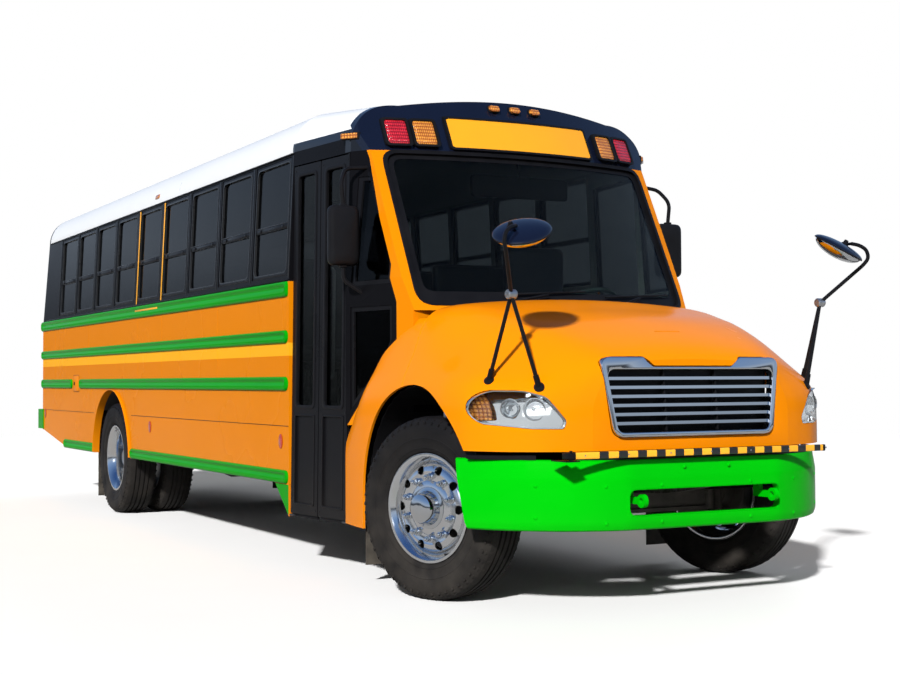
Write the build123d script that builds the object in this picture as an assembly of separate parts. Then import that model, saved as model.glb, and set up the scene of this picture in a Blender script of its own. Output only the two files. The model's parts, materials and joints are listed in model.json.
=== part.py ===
from build123d import *
import math
import os

# School bus with a bonnet. Millimetres. X points to the driver's (left) side, the bus faces -Y, Z is up.
# The origin is on the ground, in the middle of the overall length and width.

# Driving dimensions along the bus. Names ending in _aft are distances behind the front axle.
front_overhang = 1150
rear_reach = 9050
wheelbase = 6045
front_axle_y = (front_overhang - rear_reach) / 2
rear_axle_y = front_axle_y + wheelbase

# Body shell.
body_half = 1219
eave_half = 1175
cab_belt_half = 1128
cab_eave_half = 1086
pillar_aft = 870
pillar_eave_half = 1000
cab_belt_taper = 0.228
cab_eave_taper = 0.215
door_front_aft = 985
door_rear_aft = 1690
body_rear_aft = 8880
skirt_z = 523
floor_top = 985
floor_thickness = 60
belt_z = 1800
eave_z = 2694
shoulder_half = 860
shoulder_drop = 66
roof_side_half = 1092
roof_side_z = 2893
crown_z = 3035
front_crown_drop = 60
wall = 45
rear_lean = 0.134
roof_rear_radius = 210
header_end_aft = 1050

# Windscreen: part of a cylinder that leans back.
screen_aft = 202
screen_z = 1650
screen_slope = 492 / 950
screen_radius = 3000
screen_half = 945
screen_bottom = 1640
screen_top = 2600
screen_corner = 90
firewall_aft = 350
cowl_shelf_z = 1600
glass_thickness = 6
glass_inset = 20

# Windows along each side.
window_count = 9
window_pitch = 719
window_first_aft = 1735
window_width = 655
window_bottom = 1888
window_top = 2672
window_rail_z = 2224
sash_width = 26
sash_depth = 12

# Rub rails, one row each: low edge, high edge.
rub_rails = [(1745, 1848), (1442, 1528), (1130, 1223)]
bottom_rail = (523, 612)
rail_stand = 18
rail_start_aft = 1700
rail_end_aft = 8916
fuel_door_gap = (7240, 7530)

# Running gear.
tyre_radius = 500
tyre_width = 275
rim_radius = 298.5
front_wheel_x = 1027
rear_outer_x = 1068
rear_inner_x = 728
kingpin_x = 860
steer_at_rest = 19
arch_radius = 639
arch_z = 532
rear_arch_radius = 620
rail_outer = 432
rail_flange = 80
rail_web = 10
rail_top = floor_top - floor_thickness
rail_height = 260

# Front bumper.
bumper_low = 430
bumper_high = 790
bumper_face_aft = -1088
bumper_skin = 14

# Bonnet and nose.
nose_aft = -985
bonnet_bottom = 831
bonnet_skin = 14
bonnet_gap = 8
hinge_aft = -1000
hinge_z = 815
hinge_x = 385
hinge_pin = 6


def aft(distance):
    return front_axle_y + distance


def block(x, y, z):
    """A box between the low and high of each pair."""
    size = [high - low for low, high in (x, y, z)]
    middle = [(high + low) / 2 for low, high in (x, y, z)]
    return Pos(*middle) * Box(*size)


def other_side(shape):
    return mirror(shape, about=Plane.YZ)


def side_prism(points, x):
    """Extrude an outline, given as (y, z) points, between two places along X."""
    face = Plane.YZ.offset(x[0]) * make_face(Polyline(*points, close=True))
    return extrude(face, x[1] - x[0], dir=(1, 0, 0))


def rod(start, end, radius):
    """A round bar from one point to another."""
    line = Vector(*end) - Vector(*start)
    plane = Plane(origin=start, z_dir=line)
    return extrude(plane * Circle(radius), line.length)


def x_cylinder(x, y, z, radius):
    return Pos((x[0] + x[1]) / 2, y, z) * Rot(0, 90, 0) * Cylinder(radius, x[1] - x[0])


def cross_plane(y):
    return Plane(origin=(0, y, 0), x_dir=(1, 0, 0), z_dir=(0, -1, 0))


def solids_of(shapes):
    found = []
    for shape in shapes:
        if isinstance(shape, (list, tuple)):
            found += solids_of(shape)
        else:
            found += list(shape.solids())
    return found


def save(name, *shapes):
    pieces = solids_of(shapes)
    export_step(pieces[0] if len(pieces) == 1 else Compound(pieces), f"parts/{name}.step")


def body_section(distance, belt, eave, crown, inset, bottom):
    """Cross-section of the body: upright to the belt, leaning in to the eave, then a three-arc roof."""
    share = (eave - inset) / eave_half
    shoulder = (shoulder_half * share, crown - shoulder_drop - inset)
    side = (roof_side_half * share, roof_side_z - (crown_z - crown) - inset * 0.9)
    low = belt - inset
    high = eave - inset
    outline = Polyline((-high, eave_z), (-low, belt_z), (-low, bottom), (low, bottom), (low, belt_z), (high, eave_z))
    outline += ThreePointArc((high, eave_z), side, shoulder)
    outline += ThreePointArc(shoulder, (0, crown - inset), (-shoulder[0], shoulder[1]))
    outline += ThreePointArc((-shoulder[0], shoulder[1]), (-side[0], side[1]), (-high, eave_z))
    return cross_plane(aft(distance)) * make_face(outline)


def screen_prism(offset, low=200, high=3300):
    """All that lies behind the windscreen's surface, moved aft by offset."""
    wide = 1600
    faces = []
    for z in (low, high):
        nose = aft(screen_aft + (z - screen_z) * screen_slope + offset)
        flank = nose + screen_radius - math.sqrt(screen_radius**2 - wide**2)
        line = Polyline((-wide, flank), (-wide, aft(11000)), (wide, aft(11000)), (wide, flank))
        arc = ThreePointArc((wide, flank), (0, nose), (-wide, flank))
        faces.append(Pos(0, 0, z) * make_face(line + arc))
    return loft(faces, ruled=True)


def rear_line(z, inset=0):
    """Place of the rear wall at a height: upright to the belt, leaning forward above."""
    return aft(body_rear_aft - inset - max(0, z - belt_z) * rear_lean)


def body_solid(inset, bottom=skirt_z):
    """The body as a solid, its whole surface set in by inset."""
    front = 100
    low_crown = crown_z - front_crown_drop

    def cab_belt(distance):
        return cab_belt_half - (door_front_aft - distance) * cab_belt_taper

    stations = [
        (front, cab_belt(front), pillar_eave_half - (pillar_aft - front) * cab_eave_taper, low_crown),
        (pillar_aft, cab_belt(pillar_aft), pillar_eave_half, low_crown),
        (door_front_aft, cab_belt_half, cab_eave_half, low_crown),
        (door_rear_aft, body_half, eave_half, crown_z),
        (body_rear_aft + 50, body_half, eave_half, crown_z),
    ]
    sections = [body_section(*station, inset, bottom) for station in stations]
    body = loft(sections, ruled=True)
    firewall = aft(firewall_aft + inset)
    shelf = cowl_shelf_z + inset
    top = 3200
    bend = crown_z - inset - roof_rear_radius
    outline = Polyline(
        (aft(-300), shelf), (firewall, shelf), (firewall, bottom - 1), (rear_line(0, inset), bottom - 1),
        (rear_line(0, inset), belt_z), (rear_line(bend, inset), bend),
    )
    turn = roof_rear_radius * 0.29
    corner = (rear_line(bend, inset) - turn - 20, bend + roof_rear_radius - turn)
    end = (rear_line(bend, inset) - roof_rear_radius - 20, crown_z - inset + 1)
    outline += ThreePointArc((rear_line(bend, inset), bend), corner, end)
    outline += Polyline(end, (end[0], top), (aft(-300), top), (aft(-300), shelf))
    face = Plane.YZ.offset(-1400) * make_face(outline)
    return body & screen_prism(inset) & extrude(face, 2800, dir=(1, 0, 0))


outer = body_solid(0)
inner = body_solid(wall, skirt_z - 50)
shell = outer - inner
glass_layer = body_solid(glass_inset, skirt_z - 20) - body_solid(glass_inset + glass_thickness, skirt_z - 50)
sash_layer = body_solid(glass_inset - sash_depth, skirt_z - 20) - body_solid(glass_inset, skirt_z - 50)

# Regions that split the shell where the real panels meet.
far = 1400
roof_region = block((-far, far), (aft(header_end_aft), aft(9200)), (eave_z, 3200))
header_region = block((-far, far), (aft(-300), aft(header_end_aft)), (screen_top + 4, 3200))
cab_region = block((-far, far), (aft(-300), aft(door_front_aft)), (rail_top, screen_top + 4))
rear_outline = [
    (rear_line(0, wall), 300), (rear_line(0, wall), belt_z), (rear_line(3200, wall), 3200),
    (aft(9200), 3200), (aft(9200), 300),
]
rear_region = side_prism(rear_outline, (-far, far))


def window_places():
    return [window_first_aft + number * window_pitch for number in range(window_count)]


def window_block(start, shrink=0):
    return block(
        (0, far), (aft(start + shrink), aft(start + window_width - shrink)),
        (window_bottom + shrink, window_top - shrink),
    )


# The window beside the front pillar: its lower edge follows the wing.
quarter_outline = [(545, 1640), (545, 1440), (615, 1310), (800, 1130), (940, 1015), (940, 1640)]
quarter_upper = ((560, 930), (1770, 2440))
driver_window = ((1030, 1640), (1560, 2580))


def quarter_block(shrink=0):
    """Upper and lower panes beside the pillar, behind the windscreen's frame."""
    (start, end), (low, high) = quarter_upper
    upper = block((0, far), (aft(start + shrink), aft(end - shrink)), (low + shrink, high - shrink))
    prism = side_prism([(aft(y), z) for y, z in quarter_outline], (0, far))
    if shrink:
        first, last = quarter_outline[0], quarter_outline[-1]
        inside = block((0, far), (aft(first[0] + shrink), aft(last[0] - shrink)), (1015, last[1] - shrink))
        prism = prism & inside & (Pos(0, 0, shrink * 1.4) * prism)
    return (prism + upper) & screen_prism(wall + 15)


def driver_block(shrink=0):
    (start, end), (low, high) = driver_window
    return block((0, far), (aft(start + shrink), aft(end - shrink)), (low + shrink, high - shrink))


def screen_block(shrink=0, low=screen_bottom, high=screen_top):
    sketch = RectangleRounded(
        2 * (screen_half - shrink), high - low - 2 * shrink, screen_corner - shrink / 2
    )
    face = cross_plane(aft(-400)) * Pos(0, (low + high) / 2, 0) * sketch
    return extrude(face, 1800, dir=(0, 1, 0)) - screen_prism(wall + 20)


# Entrance door opening and the skirt's cut behind the rear wheel.
door_block = block((-far, 0), (aft(door_front_aft), aft(door_rear_aft)), (0, screen_top))
skirt_cut = side_prism(
    [(aft(7880), 400), (aft(7880), 545), (aft(8832), 683), (aft(9100), 683), (aft(9100), 400)], (-far, far)
)
rear_arch = x_cylinder((-far, far), rear_axle_y, tyre_radius, rear_arch_radius)

left_half = block((0, far), (aft(-300), aft(9300)), (0, 3300))
right_half = block((-far, 0), (aft(-300), aft(9300)), (0, 3300))
side_region = block((-far, far), (aft(door_front_aft), aft(9200)), (0, eave_z)) - header_region


def wheel_clearance():
    """Corners of the cab's foot that the steered tyres would touch at full lock."""
    corner = block((790, far), (aft(firewall_aft - 10), aft(480)), (0, 2 * tyre_radius + 12))
    return [corner, other_side(corner)]


def make_body():
    windows = [window_block(start) for start in window_places()]
    walls = (shell & side_region) - rear_region - skirt_cut - rear_arch
    driver_wall = (walls & left_half) - windows - driver_block()
    curb_wall = (walls & right_half) - [other_side(window) for window in windows] - door_block
    apron = side_prism([(aft(1694), skirt_z), (aft(1694), 316), (aft(1937), skirt_z)], (-body_half, -body_half + wall))
    save("side_wall_driver", driver_wall)
    curb_wall += apron
    front_pin, rear_pin = pivot_pins(door_high - 36, screen_top + 20, pivot_radius)
    save("side_wall_curb", curb_wall - front_pin + rear_pin)
    save("roof", (shell & roof_region) - rear_region)
    save("front_header", (shell & header_region) + front_pin)
    cab = (shell & cab_region) - screen_block() - quarter_block() - other_side(quarter_block())
    save("cab_front", cab - wheel_clearance())

    rear = (shell & rear_region) - block((-far, far), (aft(8700), aft(9200)), (300, 683))
    rear = rear - rear_door_block() - rear_window_blocks()
    for pin in hinge_pins():
        rear += pin
    save("rear_wall", rear)
    save("windscreen", glass_layer & cab_region & screen_block(1))


rear_door_half = 430
rear_door_low = floor_top
rear_door_high = 2620


def rear_door_block(grow=0):
    return block(
        (-rear_door_half - grow, rear_door_half + grow), (aft(8500), aft(9200)),
        (rear_door_low - grow, rear_door_high + grow),
    )


def rear_window_blocks(shrink=0):
    pair = block((540 + shrink, 1060 - shrink), (aft(8500), aft(9200)), (1960 + shrink, 2560 - shrink))
    return [pair, other_side(pair)]


def make_glass():
    panes = []
    sashes = []
    for start in window_places():
        panes.append(glass_layer & window_block(start))
        ring = window_block(start) - window_block(start, sash_width)
        bar = block((0, far), (aft(start), aft(start + window_width)), (window_rail_z - 18, window_rail_z + 18))
        sashes.append(sash_layer & (ring + bar))
    shared = [glass_layer & quarter_block()]
    shared_sash = [sash_layer & (quarter_block() - quarter_block(sash_width))]
    back = [glass_layer & place for place in rear_window_blocks()]
    curb_panes = [other_side(pane) for pane in panes + shared]
    save("window_glass", panes, shared, glass_layer & driver_block(), curb_panes, back)
    driver_sash = sash_layer & (driver_block() - driver_block(sash_width))
    save("window_sashes", sashes, shared_sash, driver_sash, [other_side(sash) for sash in sashes + shared_sash])


rear_hinge_x = -rear_door_half
rear_hinge_aft = body_rear_aft + 14
rear_hinges = (1130, 1430, 1730)


def hinge_pins():
    """Fixed halves of the rear door's hinges: two ears and a pin each."""
    found = []
    for z in rear_hinges:
        y = aft(rear_hinge_aft)
        part = Pos(rear_hinge_x, y, z) * Cylinder(5, 140)
        for low in (z + 50, z - 70):
            part += block((rear_hinge_x - 40, rear_hinge_x + 10), (aft(body_rear_aft), y + 9), (low, low + 20))
        found.append(part)
    return found


def hinge_sleeves():
    found = []
    for z in rear_hinges:
        y = aft(rear_hinge_aft)
        part = Pos(rear_hinge_x, y, z) * Cylinder(11, 90)
        part += block((rear_hinge_x, rear_hinge_x + 14), (aft(body_rear_aft), y), (z - 45, z + 45))
        part += block((rear_hinge_x + 8, rear_hinge_x + 60), (aft(body_rear_aft), aft(body_rear_aft + 5)), (z - 45, z + 45))
        found.append(part - Pos(rear_hinge_x, y, z) * Cylinder(5.4, 100))
    return found


def make_rear_door():
    gap = 8
    leaf = shell & rear_region & rear_door_block(-gap)
    window = block((-330, 330), (aft(8500), aft(9200)), (1900, 2540))
    lower = block((-330, 330), (aft(8500), aft(9200)), (1180, 1660))
    leaf = leaf - window - lower
    for sleeve in hinge_sleeves():
        leaf += sleeve
    save("rear_door", leaf)
    save("rear_door_glass", glass_layer & window, glass_layer & lower)


def rail_bar(low, high, start, end, x):
    """A rub rail: a bar along the wall with a crowned face and rounded ends."""
    height = high - low
    sketch = Plane.YZ.offset(x) * Pos((aft(start) + aft(end)) / 2, (low + high) / 2) * SlotOverall(end - start, height)
    bar = extrude(sketch, rail_stand, dir=(1, 0, 0))
    edges = bar.edges().filter_by(lambda edge: abs(edge.center().X - x - rail_stand) < 0.01)
    return chamfer(edges, rail_stand * 0.6, rail_stand * 0.6)


def make_rub_rails():
    bars = []
    for low, high in rub_rails[:2]:
        bars.append(rail_bar(low, high, rail_start_aft, rail_end_aft, body_half))
    low, high = rub_rails[2]
    bars.append(rail_bar(low, high, rail_start_aft, fuel_door_gap[0], body_half))
    bars.append(rail_bar(low, high, fuel_door_gap[1], rail_end_aft, body_half))
    low, high = bottom_rail
    arch = math.sqrt(rear_arch_radius**2 - (high - tyre_radius) ** 2) + 12
    bars.append(rail_bar(low, high, rail_start_aft, wheelbase - arch, body_half))
    bars.append(rail_bar(low, high, wheelbase + arch, 7880, body_half))
    save("rub_rails", bars, [other_side(bar) for bar in bars])


# Bonnet and wings, one row per station:
# aft, half width, height of the wing's crown, half width of the shoulder, its height, height on the centre line.
nose_stations = [
    (-985, 640, 1150, 560, 1270, 1300),
    (-960, 735, 1160, 580, 1292, 1330),
    (-890, 900, 1170, 610, 1335, 1385),
    (-760, 1050, 1185, 655, 1400, 1452),
    (-538, 1165, 1210, 740, 1480, 1540),
    (-330, 1190, 1225, 810, 1540, 1590),
    (130, 1190, 1240, 925, 1615, 1668),
    (600, 1176, 1215, 960, 1560, 1650),
    (985, 1132, 930, 900, 1100, 1200),
]
wing_round = 70


def nose_section(station, inset, bottom):
    distance, half, crown, shoulder, shoulder_z, centre_z = station
    half -= inset
    crown -= inset
    shoulder -= inset * 0.5
    shoulder_z -= inset
    centre_z -= inset
    soft = wing_round * 0.293
    right = [(half, bottom), (half, crown - wing_round)]
    outline = Polyline((-half, crown - wing_round), (-half, bottom), *right)
    outline += ThreePointArc(right[1], (half - soft, crown - soft), (half - wing_round, crown))
    outline += Line((half - wing_round, crown), (shoulder, shoulder_z))
    outline += ThreePointArc((shoulder, shoulder_z), (0, centre_z), (-shoulder, shoulder_z))
    outline += Line((-shoulder, shoulder_z), (wing_round - half, crown))
    outline += ThreePointArc(
        (wing_round - half, crown), (soft - half, crown - soft), (-half, crown - wing_round)
    )
    return cross_plane(aft(distance)) * make_face(outline)


def nose_solid(inset, bottom):
    stations = list(nose_stations)
    if inset:
        first = stations[0]
        stations[0] = (first[0] + inset, *first[1:])
        stations[1] = (stations[1][0] + inset * 0.8, *stations[1][1:])
        last = stations[-1]
        stations[-1] = (last[0] + 60, *last[1:])
    return loft([nose_section(station, inset, bottom) for station in stations], ruled=True)


nose_outer = nose_solid(0, 320)
nose_inner = nose_solid(bonnet_skin, 300)
nose_shell = nose_outer - nose_inner
arches = x_cylinder((-far, far), front_axle_y, arch_z, arch_radius) + block(
    (-far, far), (aft(-arch_radius), aft(arch_radius)), (0, arch_z)
)
grille_bottom = 896
grille_top = 1268
grille_low_half = 525
grille_high_half = 552


def grille_face(grow):
    low, high = grille_bottom - grow, grille_top + grow
    points = [
        (-grille_low_half - grow, low), (grille_low_half + grow, low),
        (grille_high_half + grow, high), (-grille_high_half - grow, high),
    ]
    face = make_face(Polyline(*points, close=True))
    return cross_plane(aft(-1100)) * fillet(face.vertices(), 60 + grow)


def grille_prism(grow, start, end):
    face = grille_face(grow)
    return extrude(face, 3000, dir=(0, 1, 0)) & block((-far, far), (aft(start), aft(end)), (0, 3000))


def lamp_prism(grow):
    """The headlamp's outline seen from the front: a pointed inner end and a round outer one."""
    line = Polyline((1120, 985 - grow), (800 - grow, 962 - grow), (770 - grow, 985), (830, 1108 + grow), (1060, 1136 + grow))
    outer_end = ThreePointArc((1060, 1136 + grow), (1160 + grow, 1080), (1120, 985 - grow))
    face = cross_plane(aft(-1100)) * make_face(line + outer_end)
    return extrude(face, 800, dir=(0, 1, 0))


def make_bonnet():
    ahead = nose_shell - screen_prism(-bonnet_gap - 60)
    ahead -= block((-far, far), (aft(-1200), aft(1200)), (0, bonnet_bottom))
    bonnet = ahead - arches - grille_prism(0, -1100, -900)
    lamps = [lamp_prism(0), other_side(lamp_prism(0))]
    bonnet -= lamps
    for side in (1, -1):
        x = (side * hinge_x - 8, side * hinge_x + 8)
        lug = x_cylinder(x, aft(hinge_aft), hinge_z, 12)
        lug += block(x, (aft(hinge_aft), aft(nose_aft + 10)), (hinge_z, bonnet_bottom + 25))
        bonnet += lug - x_cylinder(x, aft(hinge_aft), hinge_z, hinge_pin + 0.4)
    save("bonnet", bonnet)
    lens = nose_shell & lamp_prism(-1)
    save("headlamps", lens, other_side(lens))

    behind = (nose_shell & screen_prism(-60)) - outer - arches
    behind -= block((-far, far), (aft(door_front_aft - 2), aft(1400)), (0, 3000))
    behind -= block((-far, far), (aft(-500), aft(1200)), (0, 328))
    right = behind & block((-far, -950), (aft(-600), aft(1100)), (0, 1640))
    left = behind & block((950, far), (aft(-600), aft(1100)), (0, 1640))
    save("cowl_wings", largest(right), largest(left))


def largest(shape):
    return max(shape.solids(), key=lambda solid: solid.volume)


grille_bars = 7
grille_stand = 22


def make_grille():
    frame = grille_prism(-1, nose_aft - grille_stand, nose_aft + 30) - grille_prism(-34, -1200, -800)
    pitch = (grille_top - grille_bottom - 60) / (grille_bars + 1)
    bars = []
    for number in range(grille_bars):
        z = grille_bottom + 30 + pitch * (number + 1)
        bars.append(block((-far, far), (aft(nose_aft - 10), aft(nose_aft + 16)), (z - 6, z + 6)) & grille_prism(-20, -1200, -800))
    grille = frame
    for bar in bars:
        grille += bar
    save("grille", grille)


def engine():
    inner_half = rail_outer - rail_flange
    return block((-inner_half, inner_half), (aft(-690), aft(250)), (640, 1330))


def make_chassis():
    rails = []
    start, end = aft(bumper_face_aft + bumper_skin), rear_line(0, wall)
    for side in (1, -1):
        outer_face = side * rail_outer
        web = sorted((outer_face, outer_face - side * rail_web))
        flange = sorted((outer_face, outer_face - side * rail_flange))
        rail = block(web, (start, end), (rail_top - rail_height, rail_top))
        rail += block(flange, (start, end), (rail_top - rail_web, rail_top))
        rail += block(flange, (start, end), (rail_top - rail_height, rail_top - rail_height + rail_web))
        horn_top = bumper_high - bumper_skin
        rail -= block((-far, far), (aft(-1200), aft(-930)), (horn_top, 1000))
        rail += block(flange, (start, aft(-930)), (horn_top - 10, horn_top))
        middle = side * hinge_x
        for ear in (middle - 23, middle + 13):
            rail += block((ear, ear + 10), (aft(-988), aft(-965)), (horn_top, hinge_z + 10))
            rail += block((ear, ear + 10), (aft(hinge_aft - 10), aft(-965)), (bumper_high + 3, hinge_z + 10))
        rail += x_cylinder((middle - 20, middle + 20), aft(hinge_aft), hinge_z, hinge_pin)
        rails.append(rail)
    members = []
    inside = rail_outer - rail_web
    for distance in (-925, 700, 2300, 3900, 5100, 6900, 8700):
        members.append(
            block((-inside, inside), (aft(distance), aft(distance + 60)), (rail_top - 150, rail_top - 30))
        )
    frame = rails[0] + rails[1]
    for member in members:
        frame += member
    save("frame_rails", frame)
    save("engine_block", engine())
    save("radiator", block((-410, 410), (aft(-860), aft(-780)), (rail_top, 1290)))


def make_floor():
    half = body_half - wall
    slab = block((-half, half), (aft(firewall_aft + wall), rear_line(0, wall)), (rail_top, floor_top))
    slab &= inner
    slab -= block((-far, -640), (aft(door_front_aft), aft(door_rear_aft)), (0, 1100))
    slab -= x_cylinder((560, far), rear_axle_y, tyre_radius, 632)
    slab -= x_cylinder((-far, -560), rear_axle_y, tyre_radius, 632)
    cover = x_cylinder((560, half), rear_axle_y, tyre_radius, 632)
    cover -= x_cylinder((570, half + 10), rear_axle_y, tyre_radius, 624)
    cover &= block((0, far), (aft(5000), aft(7000)), (rail_top, 1300))
    slab -= wheel_clearance()
    save("floor", slab + cover + other_side(cover) + entrance_steps())


step_heights = (345, 560, 775)
step_skin = 8


def entrance_steps():
    """Treads and risers folded from sheet, between two cheek plates under the floor."""
    edges = [-1200, -960, -800, -640]
    top_side = []
    for number, height in enumerate(step_heights):
        top_side += [(edges[number], height), (edges[number + 1], height)]
    top_side.append((edges[-1], floor_top))
    under_side = [(x + step_skin, z - step_skin) for x, z in reversed(top_side[1:-1])]
    under_side = [(edges[-1] + step_skin, floor_top)] + under_side + [(edges[0], step_heights[0] - step_skin)]
    face = cross_plane(aft(door_front_aft + 4)) * make_face(Polyline(*top_side, *under_side, close=True))
    steps = extrude(face, door_rear_aft - door_front_aft - 8, dir=(0, 1, 0))
    low = door_low - 6
    for place in (door_front_aft + 4, door_rear_aft - 12):
        steps += block((edges[0], edges[-1] + step_skin), (aft(place), aft(place + 8)), (low, rail_top))
    steps = steps & body_solid(wall + 30, 300)
    plane, length = door_plane()
    for place in ((-2, 56), (length - 56, length - 3)):
        steps += plane * block(place, (-130, 4), (low - 12, low))
    for pin in pivot_pins(low - 6, door_low + 40, pivot_radius):
        steps += pin
    return steps


def steered(shape, side, angle=steer_at_rest):
    axis = Axis((side * kingpin_x, front_axle_y, 0), (0, 0, 1))
    return shape.rotate(axis, angle)


def tyre_ring(x):
    """A tyre about the X axis, centred on x: square tread, round shoulders, side walls down to the bead."""
    half = tyre_width / 2
    bead = rim_radius - 13.5
    outer_wall = [
        (bead, -103), (rim_radius + 2.5, -103), (rim_radius + 7, -half + 15), (400, -half), (465, -half + 6),
        (tyre_radius - 6, -half + 32), (tyre_radius, -half + 55),
    ]
    inner_wall = [(472, -half + 26), (400, -half + 14), (bead, -85)]
    outline = outer_wall + [(r, -u) for r, u in reversed(outer_wall)]
    outline += [(r, -u) for r, u in reversed(inner_wall)] + inner_wall
    face = make_face(Polyline(*[(u, r) for r, u in outline], close=True))
    return Pos(x, 0, 0) * revolve(Plane.XY * face, Axis.X)


def turned(outline):
    """Revolve (x, radius) points about the X axis."""
    return revolve(make_face(Polyline(*outline, close=True)), Axis.X)


hand_holes = 10
stud_circle = 167.5
spindle_radius = 40
axle_end_radius = 60


def rim_barrel(x, side_out):
    """Rim barrel with two flanges; side_out is +1 when the outer face looks to +X."""
    half = 115
    rim = [
        (-half, rim_radius), (-half, rim_radius - 16), (-half + 18, rim_radius - 34), (-50, rim_radius - 58),
        (50, rim_radius - 58), (half - 18, rim_radius - 34), (half, rim_radius - 16), (half, rim_radius),
        (half - 10, rim_radius), (half - 12, rim_radius - 14), (half - 24, rim_radius - 22), (44, rim_radius - 46),
        (-44, rim_radius - 46), (-half + 24, rim_radius - 22), (-half + 12, rim_radius - 14), (-half + 10, rim_radius),
    ]
    return turned([(x + side_out * u, r) for u, r in rim])


def disc_holes(x, radius, hole):
    cutters = []
    for number in range(hand_holes):
        angle = 2 * math.pi * number / hand_holes
        cutters.append(
            Pos(x, radius * math.cos(angle), radius * math.sin(angle)) * Rot(0, 90, 0) * Cylinder(hole, 200)
        )
    return cutters


def nut_ring(x, length):
    nuts = []
    for number in range(hand_holes):
        angle = 2 * math.pi * (number + 0.5) / hand_holes
        place = Pos(x + length / 2, stud_circle * math.cos(angle), stud_circle * math.sin(angle))
        nuts.append(place * Rot(0, 90, 0) * extrude(RegularPolygon(19, 6), length / 2, both=True))
    return nuts


def front_rim():
    """Left front wheel about the X axis: domed disc near the outer flange, hub cap, drum behind."""
    x = front_wheel_x
    disc = turned([
        (x + 20, 242), (x + 62, 225), (x + 92, 200), (x + 92, 95), (x + 104, 95), (x + 104, 204),
        (x + 72, 238), (x + 28, 254),
    ])
    hub = turned([
        (x - 100, spindle_radius + 0.5), (x + 110, spindle_radius + 0.5), (x + 110, 0), (x + 185, 0), (x + 185, 55),
        (x + 165, 88), (x + 100, 92), (x + 92, 110), (x + 60, 120), (x - 10, 205), (x - 90, 205), (x - 90, 190),
        (x - 30, 186), (x - 20, 100), (x - 100, 80),
    ])
    rim = rim_barrel(x, 1) + disc + hub
    for cutter in disc_holes(x + 80, 222, 20):
        rim -= cutter
    for nut in nut_ring(x + 102, 45):
        rim += nut
    return rim


def rear_rims():
    """Left rear pair about the X axis: a deep dish outside, its twin inside, one hub and drum."""
    mid = (rear_outer_x + rear_inner_x) / 2
    outer_disc = turned([
        (rear_outer_x - 44, 254), (mid + 40, 236), (mid + 12, 205), (mid + 12, 95), (mid, 95), (mid, 210),
        (mid + 30, 245), (rear_outer_x - 60, 262), (rear_outer_x - 44, 262),
    ])
    inner_disc = turned([
        (rear_inner_x + 44, 254), (mid - 40, 236), (mid - 12, 205), (mid - 12, 95), (mid, 95), (mid, 210),
        (mid - 30, 245), (rear_inner_x + 60, 262), (rear_inner_x + 44, 262),
    ])
    bore = axle_end_radius + 0.5
    hub = turned([
        (640, bore), (990, bore), (990, 0), (1120, 0), (1120, 70), (1100, 95), (mid + 8, 105), (mid - 14, 150),
        (mid - 30, 200), (660, 205), (660, 190), (mid - 60, 186), (mid - 50, 90), (640, 90),
    ])
    rim = rim_barrel(rear_outer_x, 1) + rim_barrel(rear_inner_x, -1) + outer_disc + inner_disc + hub
    for cutter in disc_holes(mid, 222, 20):
        rim -= cutter
    for nut in nut_ring(mid + 10, 45):
        rim += nut
    return rim


def make_wheels():
    tyre = Pos(0, front_axle_y, tyre_radius) * tyre_ring(front_wheel_x)
    rim = Pos(0, front_axle_y, tyre_radius) * front_rim()
    for name, side in (("left", 1), ("right", -1)):
        tyre_here = tyre if side > 0 else other_side(tyre)
        rim_here = rim if side > 0 else other_side(rim)
        save(f"tyre_front_{name}", steered(tyre_here, side))
        save(f"rim_front_{name}", steered(rim_here, side))
    pair = Pos(0, rear_axle_y, tyre_radius) * Compound([tyre_ring(rear_outer_x).solid(), tyre_ring(rear_inner_x).solid()])
    rims = Pos(0, rear_axle_y, tyre_radius) * rear_rims()
    save("tyres_rear_left", pair)
    save("tyres_rear_right", other_side(pair))
    save("rims_rear_left", rims)
    save("rims_rear_right", other_side(rims))


arm_length = 180
lug_low = (355, 395)
lug_high = (525, 565)
rod_z = 330


def knuckle(side):
    x = kingpin_x
    y = front_axle_y
    body = block((902, 922), (y - 60, y + 60), (355, 565))
    for low, high in (lug_low, lug_high):
        body += block((x - 40, 910), (y - 42, y + 42), (low, high))
    body += Pos(x, y, 460) * Cylinder(18, 210)
    body += x_cylinder((920, front_wheel_x + 100), y, tyre_radius, spindle_radius)
    body += block((x - 20, x + 20), (y, y + arm_length + 26), lug_low)
    body += Pos(x, y + arm_length, (lug_low[0] + rod_z - 30) / 2) * Cylinder(12, lug_low[0] - rod_z + 30 + 2)
    if side < 0:
        body = other_side(body)
    return steered(body, side)


def make_front_axle():
    y = front_axle_y
    top = 520
    low = 400
    beam = block((-kingpin_x + 20, kingpin_x - 20), (y - 30, y + 30), (low, top))
    beam -= block((-kingpin_x, kingpin_x), (y + 10, y + 50), (low + 22, top - 22))
    beam -= block((-kingpin_x, kingpin_x), (y - 50, y - 10), (low + 22, top - 22))
    for side in (1, -1):
        eye = Pos(side * kingpin_x, y, (low + top) / 2) * Cylinder(34, top - low)
        beam += eye
    for side in (1, -1):
        beam -= Pos(side * kingpin_x, y, 460) * Cylinder(18.5, 300)
    save("front_axle", beam)
    save("knuckle_left", knuckle(1))
    save("knuckle_right", knuckle(-1))

    angle = math.radians(steer_at_rest)
    ball_y = y + arm_length * math.cos(angle)
    shift = -arm_length * math.sin(angle)
    bar = x_cylinder((-kingpin_x + shift, kingpin_x + shift), ball_y, rod_z, 16)
    for side in (1, -1):
        bar += Pos(side * kingpin_x + shift, ball_y, rod_z - 2) * Cylinder(30, 40)
    for side in (1, -1):
        bar -= Pos(side * kingpin_x + shift, ball_y, rod_z) * Cylinder(12.5, 80)
    save("tie_rod", bar)


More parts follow.
